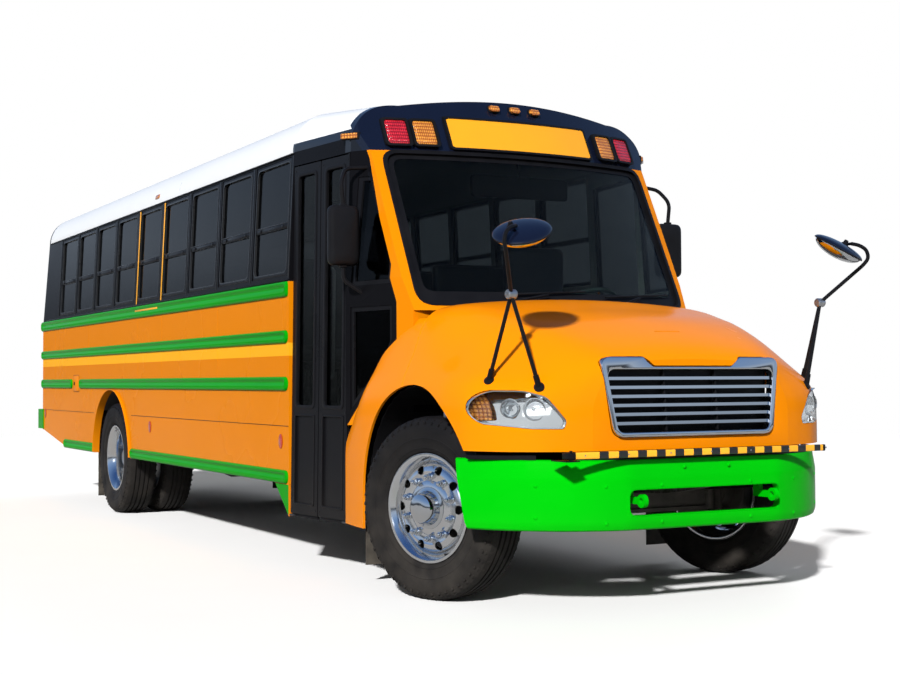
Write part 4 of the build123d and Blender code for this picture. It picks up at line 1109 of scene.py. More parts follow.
def noseRing(distance, inset=0.0, low=0.3):
    half, crown, shoulder, shoulderZ, centreZ = hermite(nose["rows"], distance)
    half, crown, shoulder = half - inset, crown - inset, shoulder - inset * 0.5
    shoulderZ, centreZ = shoulderZ - inset, centreZ - inset
    wing = nose["wingRound"]
    soft = wing * 0.293
    side = [(half, low + (crown - wing - low) * k / 12) for k in range(13)]
    bend = arcPoints((half, crown - wing), (half - soft, crown - soft), (half - wing, crown), 6)[1:]
    rise = [(half - wing + (shoulder - half + wing) * k / 12, crown + (shoulderZ - crown) * k / 12)
            for k in range(1, 13)]
    top = arcPoints((shoulder, shoulderZ), (0, centreZ), (-shoulder, shoulderZ), 32)
    right = side + bend + rise + top[1:17]
    right = evenLine(right, 56)
    line = right + [(-x, z) for x, z in reversed(right[:-1])]
    for _ in range(nose["softening"]):
        inner = [((a[0] + 2 * b[0] + c[0]) / 4, (a[1] + 2 * b[1] + c[1]) / 4)
                 for a, b, c in zip(line, line[1:], line[2:])]
        line = [line[0]] + inner + [line[-1]]
    return line


def noseSolid(name, inset=0.0, low=0.3, first=nose["front"], last=1.04):
    places = [first + 0.12 * (k / 14) ** 2 for k in range(14)]
    places += [first + 0.12 + (last - first - 0.12) * k / 52 for k in range(53)]
    rows = [[(x, aft(place), z) for x, z in noseRing(max(place, nose["front"]), inset, low)] for place in places]
    return gridPiece(name, rows, closeAcross=True, caps=True)


grille = {
    "low": 0.896, "high": 1.312, "lowHalf": 0.519, "highHalf": 0.588, "lean": 0.08, "dipHalf": 0.255,
    "dipEdge": 0.060, "dip": 0.048,
    "corner": 0.055, "stand": 0.022, "bars": 6, "openLow": 0.922, "openHigh": 1.246,
}


def grilleOutline(shrink=0.0, dipped=True):
    low, high = grille["low"] + shrink, grille["high"] - shrink
    lowHalf, highHalf = grille["lowHalf"] - shrink, grille["highHalf"] - shrink
    corners = [(-lowHalf, low), (lowHalf, low), (highHalf, high)]
    radii = [grille["corner"] + 0.02, grille["corner"] + 0.02, grille["corner"]]
    if dipped:
        edge, flat, z = grille["dipHalf"] + grille["dipEdge"], grille["dipHalf"], high - grille["dip"]
        corners += [(edge, high), (flat, z), (-flat, z), (-edge, high)]
        radii += [0.02, 0.02, 0.02, 0.02]
    corners.append((-highHalf, high))
    radii.append(grille["corner"])
    return roundedOutline(corners, radii)


def lampOutline(grow=0.0):
    low, high = (1.104, 0.972 - grow), (1.070, 1.139 + grow)
    inner = [(0.930, 0.949 - grow), (0.785 - grow, 0.948 - grow), (0.772 - grow, 0.985), (0.862, 1.106 + grow),
             (0.955, 1.137 + grow)]
    radii = [0.0, 0.2, 0.02, 0.03, 0.08, 0.2, 0.0]
    outside = arcPoints(high, (1.146 + grow, 1.065), low, 10)[1:-1]
    return roundedOutline([low] + inner + [high], radii) + outside


def archCutter():
    radius = nose["archRadius"]
    outline = [
        (frontAxleY + radius * math.cos(math.pi * k / 64), nose["archZ"] + radius * math.sin(math.pi * k / 64))
        for k in range(65)
    ]
    outline += [(frontAxleY - radius, 0.0), (frontAxleY + radius, 0.0)]
    return prism("archCutter", outline, "yz", -1.5, 1.5)


def makeNose():
    whole = noseSolid("noseWhole")
    cut(whole, noseSolid("noseInside", nose["skin"], 0.2, nose["front"] + nose["skin"], 1.06))
    cut(whole, archCutter())
    bonnet = copyOf(whole, "bonnetSkin")
    cut(bonnet, screenCutter(-0.068))
    cut(bonnet, boxPiece("low", (-1.4, aft(-1.3), 0.0), (1.4, aft(1.2), nose["bottom"])))
    cut(bonnet, prism("grilleHole", grilleOutline(-0.002), "xz", aft(-1.2), aft(-0.94)))
    cut(bonnet, boxPiece("ventSlot", (-0.085, aft(-0.762), 1.444), (0.085, aft(-0.748), 1.48), 0.001))
    for side in (1, -1):
        outline = [(side * x, z) for x, z in lampOutline(0.004)]
        cut(bonnet, prism("lampHole", outline, "xz", aft(-1.2), aft(-0.3)))
    sharpEdges(bonnet, 32)
    finished(bonnet, "bonnetPaint", "bonnet", ("bonnet",))

    sides = cut(whole, screenCutter(-0.060), "INTERSECT")
    cab = [(0.95, aft(-0.6)), (0.95, aft(0.345)), (0.983, aft(0.345)), (1.1285, aft(0.985)), (1.1285, aft(1.2))]
    cab += [(-x, y) for x, y in reversed(cab)]
    cut(sides, prism("cabCutter", cab, "xy", 0.0, 3.0))
    cut(sides, boxPiece("behind", (-1.4, aft(0.983), 0.0), (1.4, aft(1.5), 3.0)))
    cut(sides, boxPiece("below", (-1.4, aft(-1.0), -0.1), (1.4, aft(1.5), 0.328)))
    cut(sides, boxPiece("above", (-1.4, aft(-1.0), 1.64), (1.4, aft(1.5), 3.0)))
    sharpEdges(sides, 32)
    finished(sides, "bonnetPaint", "chassis", ("cowl_wings",))
    return bonnet


def makeArchLiners():
    # Dark plastic tubs over the front wheels, split where the bonnet parts from the cowl.
    radius, inner = 0.632, 0.53
    for label, body, first, last, outerX in (("Front", "bonnet", 94, 176, 1.085),
                                             ("Rear", "chassis", -16, 88, 1.135)):
        made = []
        for side in (1, -1):
            rows = []
            for step in range(25):
                angle = math.radians(first + (last - first) * step / 24)
                y, z = frontAxleY + radius * math.cos(angle), nose["archZ"] + radius * math.sin(angle)
                ridge = 0.004 * math.cos(step * math.pi)
                wall = [(side * inner, frontAxleY + r * math.cos(angle), nose["archZ"] + r * math.sin(angle))
                        for r in (0.43, 0.52)]
                rows.append(wall + [(side * x, y + ridge * math.cos(angle), z + ridge * math.sin(angle))
                                    for x in (inner, 0.72, 0.9, 1.03, outerX)])
            skin = gridPiece("liner", rows)
            thick = skin.modifiers.new("thick", "SOLIDIFY")
            thick.thickness = 0.004
            thick.offset = 0
            made.append(settle(skin, 40))
        liner = joined(f"archLiner{label}", made)
        finished(liner, "blackPlastic", body)


def makeGrille():
    low, high = grille["openLow"], grille["openHigh"]
    opening = roundedOutline([(-0.492, low), (0.492, low), (0.546, high), (-0.546, high)], 0.045)
    y = aft(nose["front"]) - grille["stand"]
    plate = prism("grilleFrame", grilleOutline(0.001), "xz", y, aft(-0.955))
    cut(plate, prism("opening", opening, "xz", aft(-1.2), aft(-0.8)))
    bevelled(plate, 0.006, 3)
    dress(plate, "brightChrome")
    half = 0.528
    lip = [(0.0, 0.008), (0.010, 0.0045), (0.030, 0.003), (0.030, -0.003), (0.010, -0.0045), (0.0, -0.008)]
    rows = [[(x, aft(-0.990) + u, 0.945 + v) for u, v in lip] for x in [half * (k / 12 - 1) for k in range(25)]]
    bar = gridPiece("bar", rows, closeAcross=True, caps=True)
    pitch = (high - low) / (grille["bars"] + 1)
    moved(bar, shift(0, 0, low + pitch - 0.945))
    bars = grown(bar, rowOf, 40, Count=grille["bars"], Step=(0.0, 0.0, pitch), Material="brightChrome")
    post = boxPiece("post", (-0.172, aft(-0.975), 0.925), (-0.164, aft(-0.955), 1.250), 0.002)
    posts = grown(post, rowOf, 40, Count=2, Step=(0.336, 0.0, 0.0), Material="blackPlastic")
    wire = boxPiece("wire", (-0.5, aft(-0.947), 0.9), (-0.4985, aft(-0.9455), 1.262))
    wires = grown(wire, rowOf, 40, Count=72, Step=(0.0141, 0.0, 0.0), Material="blackPlastic")
    thread = boxPiece("thread", (-0.52, aft(-0.945), 0.93), (0.52, aft(-0.9435), 0.9315))
    threads = grown(thread, rowOf, 40, Count=22, Step=(0.0, 0.0, 0.0150), Material="blackPlastic")
    front = joined("grilleFront", [plate, bars, posts, wires, threads])
    lean = Matrix.Identity(4)
    lean[1][2] = grille["lean"]
    moved(front, shift(0, 0, grille["low"]) @ lean @ shift(0, 0, -grille["low"]))
    finished(front, None, "bonnet", ("grille",))
    screenBack = boxPiece("screenBack", (-0.53, aft(-0.928), 0.90), (0.53, aft(-0.920), 1.262), 0.002)
    finished(screenBack, "blackPlastic", "bonnet")
    # A black sheet at the bottom of the bonnet's slot stands in for the shade inside it: painted shade.
    slot = boxPiece("ventGauze", (-0.0845, aft(-0.7615), 1.4425), (0.0845, aft(-0.7485), 1.4452))
    finished(slot, "blackPlastic", "bonnet")


def makeHeadlamps():
    # Clear lens over a bowl, a bright reflector, two bulbs and an amber corner.
    shell = noseSolid("lensSkin", 0.001, 0.3, nose["front"], 0.2)
    cut(shell, noseSolid("lensInside", 0.0055, 0.2, -0.9805, 0.3))
    deep = noseSolid("bowlSkin", 0.055, 0.3, -0.93, 0.2)
    cut(deep, noseSolid("bowlInside", 0.060, 0.2, -0.925, 0.3))
    for side, label in bothSides:
        outline = [(side * x, z) for x, z in lampOutline(0.001)]
        lens = cut(copyOf(shell, f"lampLens{label}"), prism("l", outline, "xz", aft(-1.2), aft(-0.3)), "INTERSECT")
        finished(sharpEdges(lens, 40), "lampClear", "bonnet", ("headlamps",) if side < 0 else ())
        back = cut(copyOf(deep, "back"), prism("l", outline, "xz", aft(-1.2), aft(-0.3)), "INTERSECT")
        dress(sharpEdges(back, 40), "brightChrome")
        rows = []
        for grow, depth in ((0.0015, 0.0), (0.0015, 0.062), (-0.0035, 0.062), (-0.0035, 0.004)):
            rows.append([lampEdge(side * x, z, depth) for x, z in lampOutline(grow)])
        wall = gridPiece("wall", rows, closeRows=True, closeAcross=True)
        dress(sharpEdges(wall, 40), "brightChrome")
        cups = []
        for x, z, radius in ((0.905, 1.045, 0.058), (1.005, 1.050, 0.050)):
            bowl = lathe("bowl", [(0.0, radius), (0.004, radius), (0.004, radius - 0.004), (-0.022, radius * 0.72),
                                  (-0.038, radius * 0.3), (-0.040, 0.0), (-0.044, 0.0), (-0.042, radius * 0.34),
                                  (-0.026, radius * 0.78)], 48)
            dress(bowl, "brightChrome")
            line = [(-0.040, 0.0), (-0.040, 0.010), (-0.018, 0.010), (-0.010, 0.007), (-0.008, 0.0)]
            bulb = lathe("bulb", line, 24)
            dress(bulb, "lampClear")
            y = lampEdge(side * x, z, 0.028)[1]
            turn = Matrix.Rotation(math.radians(-90), 4, "Z")
            for item in (bowl, bulb):
                moved(item, shift(side * x, y, z) @ Matrix.Rotation(math.radians(side * 20), 4, "Z")
                      @ turn)
                cups.append(item)
        amber = copyOf(deep, "amber")
        moved(amber, shift(side * 0.020, -0.016, 0.0))
        corner = roundedOutline([(1.062, 0.99), (1.135, 0.985), (1.150, 1.10), (1.062, 1.125)], 0.012)
        corner = [(side * x, z) for x, z in corner]
        cut(amber, prism("l", corner, "xz", aft(-1.2), aft(-0.3)), "INTERSECT")
        dress(sharpEdges(amber, 40), "lampAmber")
        inner = joined(f"lampBowl{label}", [back, wall, *cups, amber])
        finished(inner, None, "bonnet")
    for item in (shell, deep):
        bpy.data.objects.remove(item)


def noseY(x, z):
    # Where the nose's skin is, seen from the front, at one place.
    low, high = nose["front"], 0.6
    for _ in range(30):
        middle = (low + high) / 2
        half, crown = hermite(nose["rows"], middle)[:2]
        inside = abs(x) < half and z < crown if abs(x) > half - nose["wingRound"] else abs(x) < half
        if inside:
            high = middle
        else:
            low = middle
    return aft(high)


def lampEdge(x, z, depth):
    return (x, noseY(x, z) + 0.006 + depth, z)


# Front bumper: a pressed skin with turned-in edges, rolled round the corners

bumper = {
    "face": -1.088, "flat": 0.48, "bend": (0.850, -0.935), "end": (1.150, -0.555), "low": 0.430, "high": 0.790,
    "skin": 0.006, "slotHalf": 0.490, "slotLow": 0.500, "slotHigh": 0.6385, "slotRound": 0.045,
    "profile": [(0.770, 0.085), (0.786, 0.040), (0.790, 0.026), (0.784, 0.015), (0.700, 0.001), (0.690, 0.0),
                (0.480, 0.0), (0.462, 0.002), (0.438, 0.010), (0.430, 0.022), (0.434, 0.040), (0.446, 0.080)],
}


def bumperPlan():
    corner = arcPoints((bumper["flat"], bumper["face"]), bumper["bend"], bumper["end"], 20)
    flat = [(bumper["flat"] * (k / 10), bumper["face"]) for k in range(10)]
    right = flat + corner
    return [(-x, y) for x, y in reversed(right[1:])] + right


def bumperNormals():
    # Inward in the plan, one for each of its points.
    plan = bumperPlan()
    normals = []
    for index in range(len(plan)):
        a, b = plan[max(index - 1, 0)], plan[min(index + 1, len(plan) - 1)]
        way = Vector((b[1] - a[1], a[0] - b[0])).normalized()
        normals.append(-way if way.y < 0 else way)
    return normals


def makeBumper():
    plan, normals = bumperPlan(), bumperNormals()
    rows = []
    for z, inset in bumper["profile"]:
        # The ends slope: further back at the top than at the bottom.
        slope = [max(0.0, (y + 0.80) / 0.245) * (z - 0.47) * 0.35 for x, y in plan]
        rows.append([(x + n.x * inset, aft(y + n.y * inset + s), z) for (x, y), n, s in zip(plan, normals, slope)])
    skin = gridPiece("bumperSkin", rows)
    thick = skin.modifiers.new("thick", "SOLIDIFY")
    thick.thickness = bumper["skin"]
    thick.offset = 1 if skinFacesIn(skin) else -1
    settle(skin)
    half, low, high = bumper["slotHalf"], bumper["slotLow"], bumper["slotHigh"]
    corners = [(-half, low), (half, low), (half, high), (-half, high)]
    hole = roundedOutline(corners, bumper["slotRound"])
    cut(skin, prism("slot", hole, "xz", aft(-1.2), aft(-0.95)))
    sharpEdges(skin, 30)
    edge = roundedOutline([(x * 0.991, 0.58 + (z - 0.58) * 0.93) for x, z in corners], bumper["slotRound"] - 0.003)
    lip = ringPiece("slotLip", hole, edge, "xz", aft(bumper["face"] + 0.001), aft(bumper["face"] + 0.045), 0.002)
    dressed((skin, lip), "bumperPaint")
    spots = []
    for x in (0.62, 0.30, 0.13):
        for side in (1, -1):
            for z in (0.655, 0.470) if x > 0.2 else (0.745,):
                spots.append(bumperSpot(side * x, z))
    for side in (1, -1):
        spots += [bumperSpot(side * 0.92, 0.66), bumperSpot(side * 0.92, 0.50)]
    bolts = studCloud("bumperBolts", spots, 0.011, 0.005, "bumperPaint", 12)
    whole = joined("bumperFront", [skin, lip, bolts])
    finished(whole, None, "chassis", ("front_bumper",))


def makeBumperSeal():
    # Black rubber edge along the bumper's top, with a gap at the gate's bracket.
    plan, normals = bumperPlan(), bumperNormals()
    profile = [(0.0205, 0.7885), (0.0205, 0.806), (0.0235, 0.812), (0.0290, 0.812), (0.0320, 0.806),
               (0.0320, 0.7885)]
    made = []
    for low, high in ((-1.2, -0.915), (-0.800, 1.2)):
        rows = []
        for (x, y), n in zip(plan, normals):
            if low <= x <= high:
                rows.append([(x + n.x * inset, aft(y + n.y * inset), z) for inset, z in profile])
        made.append(sharpEdges(gridPiece("seal", rows, closeAcross=True, caps=True), 40))
    finished(joined("bumperSeal", made), "gasketRubber", "chassis")


def skinFacesIn(piece):
    face = min(piece.data.polygons, key=lambda item: abs(item.center.x) + abs(item.center.z - 0.6))
    return face.normal.y > 0


def bumperSpot(x, z):
    line = bumperPlan()
    near = min(range(1, len(line) - 1), key=lambda k: abs(line[k][0] - x))
    a, b = line[near - 1], line[near + 1]
    way = Vector((b[1] - a[1], a[0] - b[0], 0)).normalized()
    way = -way if way.y > 0 else way
    return ((line[near][0], aft(line[near][1]), z), tuple(way))


bonnetPiece = makeNose()
makeArchLiners()
makeGrille()
makeHeadlamps()
makeBumper()
makeBumperSeal()
print("nose, lamps and bumper made")


# Wheels: tread, side walls, valve and polished rims

wheelPlace = {"steer": 19, "kingpinX": 0.860, "frontX": 1.027, "twinX": (1.068, 0.728)}
tyre = {"radius": 0.500, "half": 0.1375, "bead": 0.285, "treadHalf": 0.105, "blocks": 56, "grooves": 4}


def tyrePiece(name):
    half, radius = tyre["half"], tyre["radius"]
    groove, depth = 0.0075, 0.012
    tread = []
    spots = [(-0.060, groove), (-0.021, groove), (0.021, groove), (0.060, groove)]
    tread.append((-half + 0.055, radius - 0.003))
    for place, wide in spots:
        tread += [(place - wide, radius), (place - wide * 0.7, radius - depth),
                  (place + wide * 0.7, radius - depth), (place + wide, radius)]
    tread.append((half - 0.055, radius - 0.003))
    wall = [(half - 0.030, radius - 0.009), (half - 0.010, radius - 0.028), (half - 0.003, 0.452), (half, 0.430),
            (half - 0.0005, 0.405), (half - 0.004, 0.385), (half - 0.002, 0.381), (half - 0.0055, 0.376),
            (half - 0.010, 0.345), (half - 0.013, 0.330), (half - 0.011, 0.327), (half - 0.0155, 0.322),
            (half - 0.022, 0.306), (half - 0.0345, 0.301), (half - 0.036, tyre["bead"])]
    inner = [(half - 0.055, tyre["bead"]), (half - 0.016, 0.400), (half - 0.028, 0.470)]
    profile = [(-u, r) for u, r in reversed(wall)] + tread + wall
    profile += inner + [(-u, r) for u, r in reversed(inner)]
    return lathe(name, profile, 192, 30)


def treadBlocks():
    # Shoulder lugs and small blocks on the side walls, one pitch of the ring.
    half, radius = tyre["half"], tyre["radius"]
    made = []
    for side in (1, -1):
        x = sorted((side * (half - 0.052), side * (half - 0.012)))
        lug = boxPiece("lug", (x[0], -0.0105, radius - 0.034), (x[1], 0.0105, radius - 0.0022), 0.003)
        for vertex in lug.data.vertices:
            out = max(0.0, abs(vertex.co.x) - (half - 0.052)) / 0.040
            vertex.co.z -= 0.017 * out**2
        made.append(lug)
        rim = sorted((side * (half - 0.0105), side * (half + 0.0004)))
        foot = boxPiece("foot", (rim[0], -0.007, 0.455), (rim[1], 0.007, radius - 0.030), 0.002)
        made.append(foot)
    return joined("pitch", made)


def frontWheelPlace(side):
    # The front wheels stand turned about their kingpins, as in the picture.
    pivot = Vector((side * wheelPlace["kingpinX"], frontAxleY, 0))
    steer = Matrix.Rotation(math.radians(wheelPlace["steer"]), 4, "Z")
    place = shift(side * wheelPlace["frontX"], frontAxleY, wheelZ)
    return Matrix.Translation(pivot) @ steer @ Matrix.Translation(-pivot) @ place @ Matrix.Diagonal((side, 1, 1, 1))


def makeTyres():
    body = tyrePiece("tyreBody")
    lugs = grown(treadBlocks(), ringOf, 35, Count=tyre["blocks"], First=0.0, Material="tyreRubber")
    dress(body, "tyreRubber")
    valve = tube("valve", [(tyre["half"] - 0.05, 0.0, 0.262), (tyre["half"] - 0.030, 0.0, 0.258),
                           (tyre["half"] - 0.012, 0.0, 0.240)], 0.004, 8)
    dress(valve, "zincSteel")
    whole = joined("tyreWhole", [body, lugs, valve])
    for side, name in bothSides[::-1]:
        front = moved(copyOf(whole, f"tyreFront{name}"), frontWheelPlace(side))
        finished(front, None, f"wheel_front_{name.lower()}", (f"tyre_front_{name.lower()}",))
        pair = []
        for x, way in zip(wheelPlace["twinX"], (1, -1)):
            one = moved(copyOf(whole, "one"), shift(side * x, rearAxleY, wheelZ)
                        @ Matrix.Diagonal((side * way, 1, 1, 1)))
            pair.append(one)
        finished(joined(f"tyresRear{name}", pair), None, f"wheels_rear_{name.lower()}",
                 (f"tyres_rear_{name.lower()}",))
    bpy.data.objects.remove(whole)


rim = {"radius": 0.2985, "half": 0.115, "circle": 0.1675, "handCircle": 0.212, "hand": 0.0245, "count": 10}


def barrelProfile(x):
    # A drop-centre barrel with two flanges.
    half, radius = rim["half"], rim["radius"]
    outer = [(-half, radius), (-half - 0.001, radius - 0.008), (-half, radius - 0.016),
             (-half + 0.018, radius - 0.034), (-0.050, radius - 0.058)]
    right = [(-u, r) for u, r in reversed(outer)]
    back = [(half - 0.010, radius), (half - 0.012, radius - 0.014), (half - 0.024, radius - 0.022),
            (0.044, radius - 0.046)]
    line = outer + right + back + [(-u, r) for u, r in reversed(back)]
    return [(x + u, r) for u, r in line]


def handHoles(piece, x, reach):
    for number in range(rim["count"]):
        angle = 2 * math.pi * number / rim["count"]
        y, z = rim["handCircle"] * math.cos(angle), rim["handCircle"] * math.sin(angle)
        cut(piece, prism("hole", circle(y, z, rim["hand"]), "yz", x - reach, x + reach))
    return piece


def lugNuts(x, length, material):
    # Flanged hexagon nuts with a stud end, one pitch turned round the ring.
    washer = lathe("washer", [(x - 0.002, 0.0), (x - 0.002, 0.0215), (x + 0.003, 0.0215), (x + 0.006, 0.018),
                              (x + 0.006, 0.0)], 24)
    nut = bevelled(prism("nut", circle(0.0, 0.0, 0.0165, 6), "yz", x + 0.004, x + length), 0.0022, 2)
    stud = lathe("stud", [(x + length - 0.002, 0.0), (x + length - 0.002, 0.0095), (x + length + 0.010, 0.0095),
                          (x + length + 0.013, 0.006), (x + length + 0.013, 0.0)], 16)
    whole = joined("nutWhole", dressed((washer, nut, stud), material))
    moved(whole, shift(0, rim["circle"], 0))
    return grown(whole, ringOf, 35, Count=rim["count"], First=math.pi / rim["count"], Material=material)


def frontRim():
    barrel = dress(lathe("barrel", barrelProfile(0.0), 128, 30), "polishedAlloy")
    disc = lathe("disc", [
        (0.020, 0.244), (0.050, 0.238), (0.068, 0.228), (0.079, 0.214), (0.084, 0.196), (0.078, 0.180),
        (0.078, 0.145), (0.088, 0.132), (0.092, 0.110),
        (0.092, 0.095), (0.104, 0.095), (0.104, 0.112), (0.100, 0.138), (0.092, 0.150), (0.092, 0.184),
        (0.098, 0.200), (0.094, 0.220), (0.082, 0.236), (0.060, 0.246), (0.032, 0.254)], 128, 30)
    handHoles(disc, 0.08, 0.06)
    dress(sharpEdges(disc, 30), "polishedAlloy")
    cap = lathe("cap", [
        (0.092, 0.0), (0.092, 0.113), (0.100, 0.116), (0.106, 0.113), (0.108, 0.104), (0.112, 0.094),
        (0.130, 0.088), (0.155, 0.084), (0.170, 0.076), (0.180, 0.058), (0.1845, 0.030), (0.185, 0.0)], 96, 30)
    dress(cap, "brightChrome")
    hub = lathe("hub", [
        (-0.100, 0.0405), (0.090, 0.0405), (0.090, 0.110), (0.060, 0.120), (-0.010, 0.205), (-0.090, 0.205),
        (-0.090, 0.190), (-0.030, 0.186), (-0.020, 0.100), (-0.100, 0.080)], 64, 30)
    dress(hub, "castIron")
    return joined("frontRim", [barrel, disc, cap, hub, lugNuts(0.093, 0.034, "brightChrome")])


def rearRims():
    outerX, innerX = wheelPlace["twinX"]
    middle = 0.898
    parts = [dress(lathe("barrel", barrelProfile(outerX), 128, 30), "polishedAlloy"),
             dress(lathe("barrel", barrelProfile(innerX), 96, 30), "zincSteel")]
    disc = lathe("disc", [
        (outerX - 0.044, 0.254), (outerX - 0.060, 0.246), (middle + 0.050, 0.238), (middle + 0.030, 0.228),
        (middle + 0.018, 0.212), (middle + 0.013, 0.196), (middle + 0.013, 0.098), (middle, 0.098), (middle, 0.212),
        (middle + 0.030, 0.245), (outerX - 0.060, 0.262), (outerX - 0.044, 0.262)], 128, 30)
    handHoles(disc, middle + 0.02, 0.05)
    parts.append(dress(sharpEdges(disc, 30), "polishedAlloy"))
    twinDisc = lathe("disc", [
        (innerX + 0.044, 0.254), (middle - 0.040, 0.236), (middle - 0.012, 0.205), (middle - 0.012, 0.098),
        (middle - 0.0005, 0.098), (middle - 0.0005, 0.210),
        (middle - 0.030, 0.245), (innerX + 0.060, 0.262), (innerX + 0.044, 0.262)], 96, 30)
    parts.append(dress(twinDisc, "zincSteel"))
    hub = lathe("hub", [
        (0.640, 0.0605), (0.990, 0.0605), (0.990, 0.0), (1.110, 0.0), (1.1115, 0.040), (1.108, 0.062),
        (1.096, 0.078), (1.030, 0.088), (0.930, 0.094), (middle + 0.016, 0.110), (middle + 0.013, 0.118),
        (middle + 0.012, 0.098), (middle - 0.014, 0.098), (middle - 0.014, 0.150), (middle - 0.030, 0.200),
        (0.660, 0.205), (0.660, 0.190), (middle - 0.060, 0.186), (middle - 0.050, 0.090), (0.640, 0.090)], 96, 30)
    parts.append(dress(hub, "zincSteel"))
    parts.append(lugNuts(middle + 0.012, 0.034, "brightChrome"))
    return joined("rearRims", parts)


def makeRims():
    front, rear = frontRim(), rearRims()
    for side, name in bothSides[::-1]:
        flip = Matrix.Diagonal((side, 1, 1, 1))
        one = moved(copyOf(front, f"rimFront{name}"), frontWheelPlace(side))
        finished(one, None, f"wheel_front_{name.lower()}", (f"rim_front_{name.lower()}",))
        two = moved(copyOf(rear, f"rimsRear{name}"), shift(0, rearAxleY, wheelZ) @ flip)
        finished(two, None, f"wheels_rear_{name.lower()}", (f"rims_rear_{name.lower()}",))
    for item in (front, rear):
        bpy.data.objects.remove(item)


makeTyres()
makeRims()
print("wheels made")


# Rub rails: two ridges with a groove, closed round at the ends

side = {
    "x": 1.219, "start": 1.700, "end": 8.916, "railStand": 0.0175, "fuelGap": (7.240, 7.530), "skirtCut": 7.880,
    "rails": [(1.745, 1.848), (1.442, 1.528), (1.130, 1.223)], "low": (0.523, 0.612), "seam": 0.900,
    "archRadius": 0.620, "lipRadius": 0.628,
}


def railPiece(name, low, high, start, end, way, square=False):
    # Rows run round the rail's outline; the groove fades out near the ends.
    height, stand, x = high - low, side["railStand"], side["x"] + 0.0002
    middle = (low + high) / 2
    profile = [(0.0, 0.0), (0.010, 0.03), (0.0150, 0.10), (0.0168, 0.22), (0.0160, 0.36), (0.0125, 0.47),
               (0.0065, 0.53), (0.0055, 0.60),
               (0.0075, 0.68), (0.0130, 0.76), (0.0162, 0.83), (0.0160, 0.91), (0.0115, 0.97), (0.0, 1.0)]
    reach = height / 2
    places = [start + reach * (1 - math.cos(math.pi / 2 * k / 7)) for k in range(8)]
    places += [start + reach + 0.012, start + reach + 0.03]
    count = max(2, int((end - start) / 0.6))
    places += [start + reach + 0.05 + (end - start - 2 * reach - 0.1) * k / count for k in range(count + 1)]
    tail = [end - reach * (1 - math.cos(math.pi / 2 * k / 7)) for k in range(8)]
    places += [end - reach - 0.03, end - reach - 0.012] + list(reversed(tail))
    rows = []
    for place in places:
        into = min(place - start, end - place)
        t = min(into / reach, 1.0)
        power = 5 if square else 2
        shrink = (1 - (1 - t) ** power) ** (1 / power) if t < 1 else 1.0
        grooved = min(max((into - reach * 0.6) / (reach * 0.7), 0.0), 1.0)
        grooved = grooved * grooved * (3 - 2 * grooved)
        row = []
        for out, share in profile:
            bump = stand * math.sqrt(max(0.0, 1 - (2 * abs(share - 0.5)) ** 4))
            deep = bump + (out - bump) * grooved
            row.append((way * (x + deep * min(1, shrink * 1.15)), aft(place),
                        middle + (share - 0.5) * height * max(shrink, 0.02)))
        rows.append(row)
    return sharpEdges(gridPiece(name, rows, closeAcross=True, caps=True), 50)


def makeRails():
    for way, label in bothSides:
        rails = []
        for number, (low, high) in enumerate(side["rails"]):
            spans = [(side["start"], side["end"])]
            if number == 2:
                spans = [(side["start"], side["fuelGap"][0]), (side["fuelGap"][1], side["end"])]
            for start, end in spans:
                rails.append(railPiece("rail", low, high, start, end, way, square=number == 0))
        low, high = side["low"]
        arch = math.sqrt(side["lipRadius"] ** 2 - ((low + high) / 2 - wheelZ) ** 2) + 0.003
        rails.append(railPiece("rail", low, high, side["start"], wheelbase - arch, way))
        rails.append(railPiece("rail", low, high, wheelbase + arch, side["skirtCut"], way))
        finished(joined(f"rails{label}", rails), "railPaint", "chassis",
                 ("rub_rails",) if way < 0 else ())


makeRails()
print("rails made")


# Body surfaces used by the trim

body = {"belt": 1.800, "eave": 2.694, "half": 1.219, "eaveHalf": 1.175, "rearLean": 0.134, "rear": 8.880,
        "floor": 0.985}


def wallX(z):
    lean = (body["half"] - body["eaveHalf"]) / (body["eave"] - body["belt"])
    return body["half"] - max(0.0, z - body["belt"]) * lean


def cabX(distance, z):
    belt = 1.128 - (0.985 - distance) * 0.228
    eave = 1.000 - (0.870 - distance) * 0.215 if distance < 0.870 else 1.000 + (distance - 0.870) * 0.748
    return belt + (eave - belt) * max(0.0, z - body["belt"]) / (body["eave"] - body["belt"])


def rearY(z):
    return aft(body["rear"] - max(0.0, z - body["belt"]) * body["rearLean"])


def bent(piece, place, turned=False):
    # Moves each vertex to the place that the function gives for it.
    for vertex in piece.data.vertices:
        vertex.co = place(*vertex.co)
    if turned:
        piece.data.flip_normals()
    return piece


def onWall(piece, way):
    # Turns x from "distance out of the wall" into a place on the left or right wall.
    return bent(piece, lambda x, y, z: (way * (wallX(z) + x), y, z), way < 0)


def onScreen(piece):
    # Turns y from "distance behind the windscreen's surface" into a place on it.
    return bent(piece, lambda x, y, z: (x, screenY(x, z) + y, z))


def onRear(piece):
    return bent(piece, lambda x, y, z: (x, rearY(z) + y, z))


def frameOutline(low, high, round, grow=0.0):
    # A rounded rectangle between two corners, grown on all sides.
    (x0, y0), (x1, y1) = (value - grow for value in low), (value + grow for value in high)
    return roundedOutline([(x0, y0), (x1, y0), (x1, y1), (x0, y1)], round, 5)


def splitOutline(low, high, round, grow=0.0):
    # The same with extra points along its sides, for bent surfaces.
    line = frameOutline(low, high, round, grow)
    made = []
    for a, b in zip(line, line[1:] + line[:1]):
        count = max(1, int(math.dist(a, b) / 0.08))
        made += [(a[0] + (b[0] - a[0]) * k / count, a[1] + (b[1] - a[1]) * k / count) for k in range(count)]
    return made


# Side windows: frames, middle rail, latches, emergency marking

window = {
    "count": 9, "first": 1.735, "pitch": 0.719, "width": 0.655, "low": 1.888, "high": 2.672, "rail": 2.224,
    "edge": 0.024, "strips": (4.553, 5.272), "stripWidth": 0.028,
}


